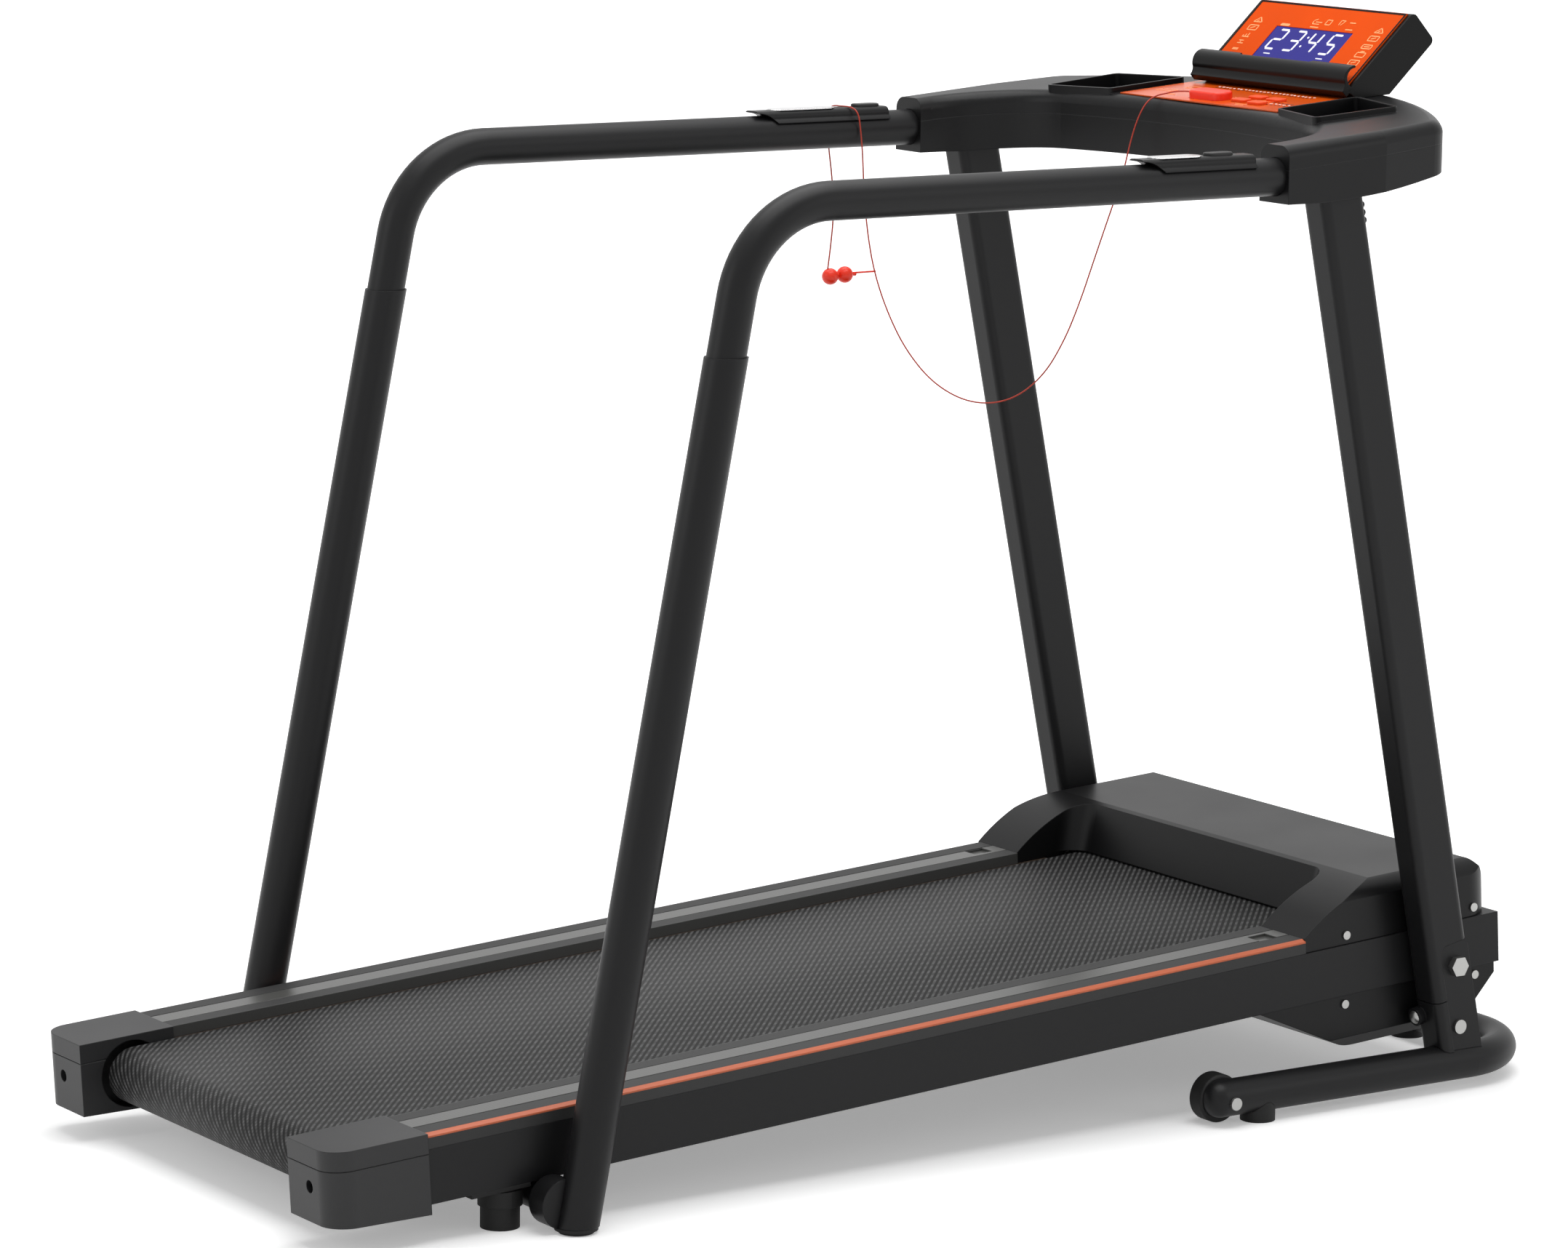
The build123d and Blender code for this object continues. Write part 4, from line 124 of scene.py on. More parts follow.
def new_material(name: str) -> tuple[bpy.types.Material, bpy.types.NodeTree, bpy.types.Node]:
    """Make an empty node material.

    Args:
        name: Name of the real material and process.

    Returns:
        The material, its node tree and its Principled shader, already wired to the output.
    """
    material = bpy.data.materials.new(name)
    material.use_nodes = True
    tree = material.node_tree
    tree.nodes.clear()
    shader = add_node(tree, "ShaderNodeBsdfPrincipled")
    add_node(tree, "ShaderNodeOutputMaterial", {"Surface": shader.outputs[0]})
    return material, tree, shader


def put_surface(name: str, grid: np.ndarray, close_v: bool = False,
                uv: np.ndarray | None = None) -> bpy.types.Object:
    """Make a smooth mesh object from a grid of points.

    Each cell of the grid becomes one four-sided face.

    Args:
        name: Piece name.
        grid: Points, as rows by columns by 3, in metres.
        close_v: Join the last column to the first.
        uv: Rows by columns by 2 values for the piece's UV map.

    Returns:
        The linked object.
    """
    rows, columns = grid.shape[:2]
    index = np.arange(rows * columns).reshape(rows, columns)
    if close_v:
        index = np.hstack([index, index[:, :1]])
    faces = np.stack([index[:-1, :-1], index[:-1, 1:], index[1:, 1:], index[1:, :-1]], axis=-1)
    mesh = bpy.data.meshes.new(name)
    mesh.from_pydata(grid.reshape(-1, 3).tolist(), [], faces.reshape(-1, 4).tolist())
    if uv is not None:
        layer = mesh.uv_layers.new(name="UVMap")
        corner = np.zeros(len(mesh.loops), dtype=np.int32)
        mesh.loops.foreach_get("vertex_index", corner)
        layer.data.foreach_set("uv", uv.reshape(-1, 2)[corner].astype(np.float32).ravel())
    mesh.polygons.foreach_set("use_smooth", np.ones(len(mesh.polygons), dtype=bool))
    mesh.update()
    piece = bpy.data.objects.new(name, mesh)
    bpy.context.scene.collection.objects.link(piece)
    return piece


def dress(node: str, material: bpy.types.Material) -> None:
    """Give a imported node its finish.

    Args:
        node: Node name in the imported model.
        material: The finish.
    """
    mesh = frame["nodes"][node].data
    mesh.materials.clear()
    mesh.materials.append(material)


# ------------------------------------------------------------------ finishes
class Grain(Enum):
    """How coarse a surface's fine relief is, in millimetres from grain to grain.

    The grains are drawn a few times coarser than the real finishes', so that they show.
    """

    SPRAYED = 1.4
    MOULDED = 1.1
    SOFT = 2.2


@dataclass(frozen=True)
class Coating:
    """An opaque paint or plastic with a fine relief and slightly uneven gloss."""

    name: str
    colour: str
    roughness: float
    grain: Grain = Grain.MOULDED
    relief: float = 0.12
    specular: float = 0.5
    edge: float = 1.2

    def make(self) -> bpy.types.Material:
        """Build the material: relief from fine noise, gloss from a broad noise, soft edges.

        Returns:
            The finished material.
        """
        material, tree, shader = new_material(self.name)
        place = add_node(tree, "ShaderNodeTexCoord")
        fine = add_node(tree, "ShaderNodeTexNoise", {"Vector": place.outputs["Object"]},
                        in_Scale=MM_PER_M / self.grain.value, in_Detail=2.0, in_Roughness=0.6)
        broad = add_node(tree, "ShaderNodeTexNoise", {"Vector": place.outputs["Object"]},
                         in_Scale=9.0, in_Detail=4.0)
        gloss = add_node(tree, "ShaderNodeMapRange", {"Value": broad.outputs["Fac"]},
                         in_3=self.roughness - 0.04, in_4=self.roughness + 0.05)
        tone = add_node(tree, "ShaderNodeMapRange", {"Value": broad.outputs["Fac"]},
                        in_3=0.88, in_4=1.12)
        shade = add_node(tree, "ShaderNodeMix", {"Factor": tone.outputs[0]},
                         data_type="RGBA", blend_type="MIX")
        shade.inputs[6].default_value = CLEAR_BLACK
        shade.inputs[7].default_value = linear(self.colour)
        shade.clamp_factor = False
        soft = add_node(tree, "ShaderNodeBevel", samples=BEVEL_SAMPLES,
                        in_Radius=self.edge / MM_PER_M)
        bump = add_node(tree, "ShaderNodeBump", {"Height": fine.outputs["Fac"],
                        "Normal": soft.outputs["Normal"]}, in_Strength=self.relief,
                        in_Distance=0.0002)
        tree.links.new(shade.outputs[2], shader.inputs["Base Color"])
        tree.links.new(gloss.outputs[0], shader.inputs["Roughness"])
        tree.links.new(bump.outputs[0], shader.inputs["Normal"])
        shader.inputs["Specular IOR Level"].default_value = self.specular
        return material


@dataclass(frozen=True)
class Metal:
    """A bare or plated metal with fine marks from turning or brushing."""

    name: str
    colour: str
    roughness: float
    marks: float = 0.1

    def make(self) -> bpy.types.Material:
        """Build the material: fine marks vary the gloss and lift the surface a little.

        Returns:
            The finished material.
        """
        material, tree, shader = new_material(self.name)
        place = add_node(tree, "ShaderNodeTexCoord")
        fine = add_node(tree, "ShaderNodeTexNoise", {"Vector": place.outputs["Object"]},
                        in_Scale=1400.0, in_Detail=3.0)
        gloss = add_node(tree, "ShaderNodeMapRange", {"Value": fine.outputs["Fac"]},
                         in_3=self.roughness - 0.06, in_4=self.roughness + 0.1)
        soft = add_node(tree, "ShaderNodeBevel", samples=BEVEL_SAMPLES, in_Radius=0.0006)
        bump = add_node(tree, "ShaderNodeBump", {"Height": fine.outputs["Fac"],
                        "Normal": soft.outputs["Normal"]}, in_Strength=self.marks,
                        in_Distance=0.0001)
        shader.inputs["Base Color"].default_value = linear(self.colour)
        shader.inputs["Metallic"].default_value = 1.0
        tree.links.new(gloss.outputs[0], shader.inputs["Roughness"])
        tree.links.new(bump.outputs[0], shader.inputs["Normal"])
        return material


@dataclass(frozen=True)
class Weave:
    """A woven belt of coated polyester, seen as diagonal rows of small raised flecks.

    Each row is a band across the belt's own UV map, in metres. Narrow bands square to the rows
    part them into dots, and broad slanting bands lift some of the dots above the others. The
    flecks are drawn coarser than a real weave's, so that each can be told apart.
    """

    name: str
    ground: str
    fleck: str
    row_gap: float = 5.7
    row_turn: float = -46.8
    dot_gap: float = 3.8
    dot_turn: float = 43.2
    fleck_gap: float = 17.9
    fleck_turn: float = 29.8
    roughness: float = 0.55

    def bands(self, tree: bpy.types.NodeTree, place: bpy.types.Node, turn: float,
              gap: float) -> bpy.types.NodeSocket:
        """Add one set of parallel bands.

        Args:
            tree: Node tree that gets them.
            place: Node that gives the UV map.
            turn: Angle of the bands in degrees.
            gap: Distance from band to band in millimetres.

        Returns:
            The socket of the bands' height, from 0 to 1.
        """
        around = add_node(tree, "ShaderNodeMapping", {"Vector": place.outputs["UV"]})
        around.inputs["Rotation"].default_value = (0.0, 0.0, math.radians(turn))
        wave = add_node(tree, "ShaderNodeTexWave", {"Vector": around.outputs[0]},
                        in_Scale=WAVE_TURN / (gap / MM_PER_M), in_Distortion=0.0)
        return wave.outputs["Fac"]

    def make(self) -> bpy.types.Material:
        """Build the material: flecks lighter and higher than the ground between them.

        Returns:
            The finished material.
        """
        material, tree, shader = new_material(self.name)
        place = add_node(tree, "ShaderNodeTexCoord")
        rows = self.bands(tree, place, self.row_turn, self.row_gap)
        dots = self.bands(tree, place, self.dot_turn, self.dot_gap)
        flecks = self.bands(tree, place, self.fleck_turn, self.fleck_gap)
        parted = add_node(tree, "ShaderNodeMapRange", {"Value": dots}, in_3=0.5, in_4=1.0)
        lifted = add_node(tree, "ShaderNodeMapRange", {"Value": flecks}, in_3=0.45, in_4=1.0)
        weft = add_node(tree, "ShaderNodeMath", {0: parted.outputs[0], 1: lifted.outputs[0]},
                        operation="MULTIPLY")
        narrow = add_node(tree, "ShaderNodeMapRange", {"Value": rows},
                          interpolation_type="SMOOTHSTEP", in_1=0.3, in_2=0.85)
        crisp = add_node(tree, "ShaderNodeMath", {0: narrow.outputs[0], 1: weft.outputs[0]},
                         operation="MULTIPLY")
        noise = add_node(tree, "ShaderNodeTexNoise", {"Vector": place.outputs["Object"]},
                         in_Scale=350.0, in_Detail=2.0)
        worn = add_node(tree, "ShaderNodeMapRange", {"Value": noise.outputs["Fac"]},
                        in_1=0.3, in_2=0.7, in_3=0.55, in_4=1.0)
        lit = add_node(tree, "ShaderNodeMath", {0: crisp.outputs[0], 1: worn.outputs[0]},
                       operation="MULTIPLY")
        shade = add_node(tree, "ShaderNodeMix", {"Factor": lit.outputs[0]}, data_type="RGBA")
        shade.inputs[6].default_value = linear(self.ground)
        shade.inputs[7].default_value = linear(self.fleck)
        bump = add_node(tree, "ShaderNodeBump", {"Height": lit.outputs[0]}, in_Strength=0.5,
                        in_Distance=0.0004)
        tree.links.new(shade.outputs[2], shader.inputs["Base Color"])
        tree.links.new(bump.outputs[0], shader.inputs["Normal"])
        shader.inputs["Roughness"].default_value = self.roughness
        shader.inputs["Specular IOR Level"].default_value = 0.2
        return material


@dataclass(frozen=True)
class StripedRail:
    """An extruded foot rail whose tread strip is a lighter, ribbed compound, with painted light in
    its stripes.

    The stripes follow the distance from the middle of the machine: stops are in millimetres.
    The pale lip at the inner edge is a painted highlight, and the grey tread band is partly the
    strip's own paler compound and partly painted reflection.
    """

    name: str
    # 5A5A58 at 212-214.5 mm is a painted highlight on the inner edge; 4A4A48 is the tread's paler
    # compound plus painted reflection.
    stops: tuple = ((212.0, "5A5A58"), (214.5, "121212"), (232.5, "121212"), (234.5, "4A4A48"),
                    (258.5, "4A4A48"), (261.0, "0F0F0F"))
    roughness: tuple = (0.62, 0.22)

    def make(self) -> bpy.types.Material:
        """Build the material: stripes of two tones, the lighter one ribbed and less glossy; the
        lighter tones hold painted highlight and painted reflection.

        Returns:
            The finished material.
        """
        material, tree, shader = new_material(self.name)
        place = add_node(tree, "ShaderNodeTexCoord")
        axes = add_node(tree, "ShaderNodeSeparateXYZ", {"Vector": place.outputs["Object"]})
        side = add_node(tree, "ShaderNodeMath", {0: axes.outputs["X"]}, operation="ABSOLUTE")
        low, high = self.stops[0][0] - 2.0, self.stops[-1][0] + 24.0
        across = add_node(tree, "ShaderNodeMapRange", {"Value": side.outputs[0]},
                          in_1=low / MM_PER_M, in_2=high / MM_PER_M)
        ramp = add_node(tree, "ShaderNodeValToRGB", {"Fac": across.outputs[0]})
        points = ramp.color_ramp.elements
        for number, (stop, colour) in enumerate(self.stops):
            share = (stop - low) / (high - low)
            point = points[number] if number < 2 else points.new(share)
            point.position = share
            point.color = linear(colour)
        light = add_node(tree, "ShaderNodeRGBToBW", {"Color": ramp.outputs["Color"]})
        gloss = add_node(tree, "ShaderNodeMapRange", {"Value": light.outputs[0]},
                         in_1=0.01, in_2=0.09, in_3=self.roughness[0], in_4=self.roughness[1])
        ribs = add_node(tree, "ShaderNodeTexWave", {"Vector": place.outputs["Object"]},
                        in_Scale=WAVE_TURN / RIB_GAP)
        lift = add_node(tree, "ShaderNodeMath", {0: ribs.outputs["Fac"], 1: light.outputs[0]},
                        operation="MULTIPLY")
        soft = add_node(tree, "ShaderNodeBevel", samples=BEVEL_SAMPLES, in_Radius=0.001)
        bump = add_node(tree, "ShaderNodeBump", {"Height": lift.outputs[0],
                        "Normal": soft.outputs["Normal"]}, in_Strength=0.25, in_Distance=0.002)
        tree.links.new(ramp.outputs["Color"], shader.inputs["Base Color"])
        tree.links.new(gloss.outputs[0], shader.inputs["Roughness"])
        tree.links.new(bump.outputs[0], shader.inputs["Normal"])
        return material


@dataclass(frozen=True)
class Lit:
    """A backlit surface that gives its own light."""

    name: str
    colour: str
    glow: float
    roughness: float = 0.2

    def make(self) -> bpy.types.Material:
        """Build the material: an even glow with a slight cloudiness of the light guide behind.

        Returns:
            The finished material.
        """
        material, tree, shader = new_material(self.name)
        place = add_node(tree, "ShaderNodeTexCoord")
        cloud = add_node(tree, "ShaderNodeTexNoise", {"Vector": place.outputs["Object"]},
                         in_Scale=60.0, in_Detail=1.0)
        shade = add_node(tree, "ShaderNodeMix", {"Factor": cloud.outputs["Fac"]},
                         data_type="RGBA")
        red, green, blue, _ = linear(self.colour)
        shade.inputs[6].default_value = (red * 0.8, green * 0.8, blue * 0.8, 1.0)
        shade.inputs[7].default_value = (red, green, blue, 1.0)
        tree.links.new(shade.outputs[2], shader.inputs["Emission Color"])
        shader.inputs["Emission Strength"].default_value = self.glow
        shader.inputs["Base Color"].default_value = (red * 0.3, green * 0.3, blue * 0.3, 1.0)
        shader.inputs["Roughness"].default_value = self.roughness
        shader.inputs["Specular IOR Level"].default_value = 0.2
        return material


# Polyester powder baked on steel: an even satin black with a faint orange peel.
POWDER_BLACK = Coating("powder_coated_steel", "151516", 0.4, Grain.SPRAYED, 0.10, 0.2)
# Injection-moulded ABS from a spark-eroded mould: satin, slightly softer highlights.
ABS_BLACK = Coating("moulded_abs_black", "0D0D0E", 0.36, Grain.MOULDED, 0.16, 0.19)
# ABS with a coarser etched texture on the end caps: matte, so its top reads mid-grey.
ABS_ETCHED = Coating("etched_abs_charcoal", "1F1F20", 0.44, Grain.SPRAYED, 0.3, 0.36)
# ABS from a polished mould, on the monitor and the ledge: deeper black.
ABS_GLOSS = Coating("polished_abs_black", "0A0A0A", 0.3, Grain.SOFT, 0.05, 0.14)
# Coloured ABS with rounded, slightly glossy edges.
ABS_RED = Coating("moulded_abs_red", "F23418", 0.32, Grain.MOULDED, 0.05, 0.4, edge=1.5)
# Polycarbonate sheet printed on its back: the colour lies under a clear glossy face.
PANEL_ORANGE = Coating("back_printed_polycarbonate", "D04702", 0.42, Grain.SOFT, 0.03, 0.04)
# Screen-printed film under a smooth varnish: it mirrors the light more than the panel.
KEYPAD_ORANGE = Coating("glossy_printed_keypad_film", "CC4E08", 0.24, Grain.SOFT, 0.03, 0.22)
# Extruded PVC strip: a duller orange with a long soft highlight.
TRIM_ORANGE = Coating("extruded_pvc_orange", "C0623F", 0.4, Grain.SOFT, 0.05, 0.3)
# Vulcanised rubber: dull and even, hardly any highlight.
RUBBER_BLACK = Coating("vulcanised_rubber", "101010", 0.62, Grain.SOFT, 0.2, 0.3)
# Moulded silicone rubber: a soft dark grey.
KEY_RUBBER = Coating("silicone_rubber_dark", "1B1B1B", 0.5, Grain.MOULDED, 0.1, 0.3)
# The same in orange, matter than the film round it.
KEY_ORANGE = Coating("silicone_rubber_orange", "E8480C", 0.42, Grain.MOULDED, 0.08, 0.25)
# Fibreboard faced with melamine: a plain brown underside.
BOARD_WOOD = Coating("melamine_faced_fibreboard", "3A2E24", 0.45, Grain.SOFT, 0.1)
# Screen-printed inks: flat, thin and crisp at the edge.
WHITE_INK = Coating("screen_printed_white_ink", "F4F2F0", 0.5, Grain.SOFT, 0.03, 0.2, edge=0.1)
PALE_INK = Coating("screen_printed_pale_ink", "FFA269", 0.45, Grain.SOFT, 0.03, 0.2, edge=0.1)
# Not an ink: a dark orange-brown drawn beside each white dash as its painted shadow.
SHADOW_DASH_INK = Coating("painted_shadow_dash_ink", "2A1008", 0.45, Grain.SOFT, 0.03, 0.2, edge=0.1)
RIM_INK = Coating("screen_printed_rim_ink", "0C0C0C", 0.7, Grain.SOFT, 0.03, 0.1, edge=0.1)
# Zinc plating on steel: pale grey with a broad, soft sheen.
ZINC = Metal("zinc_plated_steel", "A4A4A2", 0.34)
# Polished stainless steel: bright, with the white surroundings in it.
PULSE_STEEL = Metal("polished_stainless_steel", "E2E2E2", 0.2)
# Turned iron: darker, with a coarse sheen.
TURNED_IRON = Metal("turned_cast_iron", "6E6E6E", 0.45)
# Folded aluminium sheet: pale and satin.
FOLDED_ALUMINIUM = Metal("folded_aluminium_sheet", "B9BABC", 0.4)
# Solder mask on a glass-fibre board: glossy green.
SOLDER_MASK = Coating("solder_masked_glass_fibre", "1E6B3A", 0.35, Grain.SOFT, 0.05)
# Liquid-crystal display: an even blue glow and white bars.
LCD_BLUE = Lit("backlit_lcd_blue", "1C149C", 0.45)
LCD_WHITE = Lit("backlit_lcd_segment", "F2F2FF", 0.9)
# Coated polyester weave: black with rows of lighter raised flecks.
BELT_WEAVE = Weave("woven_coated_polyester", "131313", "6A6A6A")
# Two compounds extruded together: black edges and a paler ribbed tread, whose paleness is partly
# painted reflection, with a painted highlight along the inner edge.
RAIL_STRIPES = StripedRail("pvc_rail_stripes_with_painted_sheen")


# ------------------------------------------------------------------ tether
@dataclass
class Tether:
    """The safety cord, from the key over the console's edge and over the left handrail.

    The line is one smooth spline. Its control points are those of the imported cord's route, in
    millimetres, and it stays in its hanging shape at every pose.
    """

    radius: float = 0.0008
    length: float = 1.034
    route: tuple = (
        (-37, 503, 1013), (-49, 503, 1013), (-60, 496, 1012.4), (-64, 484, 1010),
        (-65, 472, 1008), (-67, 462, 1001.5), (-71, 455, 986), (-76, 450, 963),
        (-82, 443, 919), (-93, 434, 876), (-104, 425, 832), (-114, 416, 789),
        (-126, 405, 746), (-143, 390, 706), (-169, 367, 678), (-202, 339, 673),
        (-233, 312, 692), (-256, 291, 727), (-272, 277, 767), (-284, 267, 810),
        (-291, 262, 854), (-294, 259, 899), (-294.4, 257, 938), (-294.6, 254, 964),
        (-295.5, 251.5, 981), (-303.5, 248, 986.5), (-316.2, 244, 986.5),
        (-329, 241, 986.5), (-337, 240, 981), (-338, 240.5, 966), (-338, 242.5, 942),
        (-338, 248, 907), (-338, 250.5, 872), (-338, 248, 840), (-338, 243.5, 808.5),
    )

    def build(self) -> bpy.types.Object:
        """Lay the cord as a round NURBS curve through the route's control points.

        Returns:
            The cord.
        """
        curve = bpy.data.curves.new("tether_cord", "CURVE")
        curve.dimensions = "3D"
        curve.bevel_depth = self.radius
        curve.bevel_resolution = 4
        curve.resolution_u = 8
        spline = curve.splines.new("NURBS")
        points = np.ones((len(self.route), 4), dtype=np.float32)
        points[:, :3] = np.array(self.route) / MM_PER_M
        spline.points.add(len(self.route) - 1)
        spline.points.foreach_set("co", points.ravel())
        spline.order_u = 3
        spline.use_endpoint_u = True
        cord = bpy.data.objects.new("tether_cord", curve)
        bpy.context.scene.collection.objects.link(cord)
        cord.data.materials.append(Coating("braided_polyester_cord", "A8301C", 0.55,
                                           Grain.MOULDED, 0.3).make())
        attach(cord, "frame")
        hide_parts("safety_cord")
        return cord


# ------------------------------------------------------------------ running belt
def joint_place(name: str) -> np.ndarray:
    """Find where a joint sits.

    Args:
        name: Joint name in the record.

    Returns:
        Its place in metres.
    """
    for joint in frame["joints"]:
        if joint["name"] == name:
            return np.array(joint["pos_m"], dtype=float)
    raise KeyError(name)


@dataclass
class RunningBelt:
    """The endless belt, as a rounded strip carried along the loop round both rollers."""

    arc_steps: int = 28
    edge_radius: float = 0.0006

    def loop(self, rear: np.ndarray, front: np.ndarray, radius: float) -> np.ndarray:
        """Work out the middle line of the loop.

        The line runs straight from roller to roller on top, turns by half a circle round the
        front one, comes back straight below and turns round the rear one.

        Args:
            rear: Rear roller's axis, in Y and Z.
            front: Front roller's axis, in Y and Z.
            radius: From an axis to the line.

        Returns:
            Rows of Y, Z, outward Y, outward Z and distance along the loop.
        """
        along = (front - rear) / np.linalg.norm(front - rear)
        above = np.array([-along[1], along[0]])
        turn = np.linspace(0.0, math.pi, self.arc_steps)
        out_front = np.outer(np.cos(turn), above) + np.outer(np.sin(turn), along)
        out = np.vstack([out_front, -out_front])
        place = np.vstack([front + radius * out_front, rear - radius * out_front])
        step = np.linalg.norm(np.diff(place, axis=0, append=place[:1]), axis=1)
        travelled = np.concatenate([[0.0], np.cumsum(step)[:-1]])
        return np.hstack([place, out, travelled[:, None]])

    def build(self) -> bpy.types.Object:
        """Carry the strip's section along the loop, with its UV map in metres.

        Returns:
            The belt.
        """
        low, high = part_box("running_belt")
        tube_low, tube_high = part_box("rear_roller")
        rear, front = joint_place("rear_roller_spin")[1:], joint_place("front_roller_spin")[1:]
        outer = rear[1] - low.z
        inner = max((tube_high.z - tube_low.z) / 2.0, outer - BELT_THICKNESS)
        line = self.loop(rear, front, (outer + inner) / 2.0)
        half = (outer - inner) / 2.0
        rim = self.edge_radius
        section = np.array([
            (low.x, -half + rim), (low.x, half - rim), (low.x + rim, half), (0.0, half),
            (high.x - rim, half), (high.x, half - rim), (high.x, -half + rim),
            (high.x - rim, -half), (0.0, -half), (low.x + rim, -half),
        ])
        line = np.vstack([line, line[:1]])
        line[-1, 4] = line[-2, 4] + np.linalg.norm(line[-1, :2] - line[-2, :2])
        across, height = section[:, 0], section[:, 1]
        grid = np.empty((len(line), len(section), 3))
        grid[:, :, 0] = across
        grid[:, :, 1:] = line[:, None, :2] + height[:, None] * line[:, None, 2:4]
        uv = np.stack(np.broadcast_arrays(across[None, :], line[:, 4][:, None]), axis=-1)
        piece = put_surface("running_belt_weave", grid, close_v=True, uv=uv)
        seal_seams(piece)
        piece.data.materials.append(BELT_WEAVE.make())
        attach(piece, "deck")
        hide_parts("running_belt")
        return piece


def seal_seams(piece: bpy.types.Object, gap: float = 1e-6) -> None:
    """Merge a closed surface's doubled first and last rows, and turn its faces outwards.

    Args:
        piece: Object to seal.
        gap: Largest distance between points that become one, in metres.
    """
    shape = bmesh.new()
    shape.from_mesh(piece.data)
    bmesh.ops.remove_doubles(shape, verts=shape.verts, dist=gap)
    bmesh.ops.recalc_face_normals(shape, faces=shape.faces)
    shape.to_mesh(piece.data)
    shape.free()


# ------------------------------------------------------------------ prints and display
@dataclass(frozen=True)
class FlatFace:
    """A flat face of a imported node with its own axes: across, up along it, and out of it."""

    origin: np.ndarray
    across: np.ndarray
    up: np.ndarray
    out: np.ndarray

    @classmethod
    def of(cls, node: str, tilt: float) -> "FlatFace":
        """Find the outermost face of a node that looks up and back at a tilt.

        Args:
            node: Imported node.
            tilt: Degrees by which the face rises towards the front of the machine.

        Returns:
            The face, with its origin in the middle of its lowest edge.
        """
        turn = math.radians(tilt)
        out = np.array([0.0, -math.sin(turn), math.cos(turn)])
        up = np.array([0.0, math.cos(turn), math.sin(turn)])
        mesh = frame["nodes"][node].data
        points = np.zeros(len(mesh.vertices) * 3)
        mesh.vertices.foreach_get("co", points)
        points = points.reshape(-1, 3)
        middle = (points[:, 0].min() + points[:, 0].max()) / 2.0
        level = (points @ out).max()
        start = (points @ up).min()
        origin = np.array([middle, 0.0, 0.0]) + level * out + start * up
        return cls(origin, np.array([1.0, 0.0, 0.0]), up, out)


def strokes_piece(name: str, face: FlatFace, strokes: np.ndarray, finish: Coating | Lit,
                  low: float = -0.0001, high: float = 0.00022,
                  tip: float = 0.45) -> bpy.types.Object:
    """Lay straight strokes on a flat face as thin closed bars with pointed ends.

    Each stroke is a hexagon round its middle line, raised from below the face to above it.

    Args:
        name: Piece name.
        face: Face that carries them.
        strokes: Rows of start, end and width, in millimetres on the face.
        finish: Their finish.
        low: Where the bars start, in metres off the face.
        high: Where the bars end, in metres off the face.
        tip: Length of a pointed end as a share of the width.

    Returns:
        The piece.
    """
    start, end, width = strokes[:, 0:2], strokes[:, 2:4], strokes[:, 4:5]
    along = (end - start) / np.linalg.norm(end - start, axis=1, keepdims=True)
    side = np.stack([-along[:, 1], along[:, 0]], axis=1) * width / 2.0
    point = along * width * tip
    ring = np.stack([start, start + point - side, end - point - side, end,
                     end - point + side, start + point + side], axis=1) / MM_PER_M
    flat = face.origin + ring[..., :1] * face.across + ring[..., 1:] * face.up
    points = np.stack([flat + low * face.out, flat + high * face.out], axis=1)
    base = np.arange(len(strokes))[:, None] * 2 * STROKE_CORNERS
    turn = np.arange(STROKE_CORNERS)
    after = (turn + 1) % STROKE_CORNERS
    floor = base + turn[::-1]
    roof = base + turn + STROKE_CORNERS
    walls = base[:, :, None] + np.stack([turn, after, after + STROKE_CORNERS,
                                         turn + STROKE_CORNERS], axis=1)
    faces = floor.tolist() + roof.tolist() + walls.reshape(-1, 4).tolist()
    mesh = bpy.data.meshes.new(name)
    mesh.from_pydata(points.reshape(-1, 3).tolist(), [], faces)
    mesh.update()
    piece = bpy.data.objects.new(name, mesh)
    bpy.context.scene.collection.objects.link(piece)
    piece.data.materials.append(finish.make())
    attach(piece, "frame")
    return piece


def placed(shape: list[tuple], across: float, up: float, width: float) -> list[tuple]:
    """Move a small line drawing to its place.

    Args:
        shape: Strokes as start and end, in millimetres about the drawing's middle.
        across: Its middle across the face.
        up: Its middle up the face.
        width: Stroke width.

    Returns:
        Strokes with their width.
    """
    return [(a + across, b + up, c + across, d + up, width) for a, b, c, d in shape]


def ring_of(wide: float, tall: float) -> list[tuple]:
    """Draw the four sides of a small upright frame.

    Args:
        wide: Its width in millimetres.
        tall: Its height in millimetres.

    Returns:
        Strokes as start and end, about the frame's middle.
    """
    x, y = wide / 2.0, tall / 2.0
    return [(-x, -y, x, -y), (x, -y, x, y), (x, y, -x, y), (-x, y, -x, -y)]


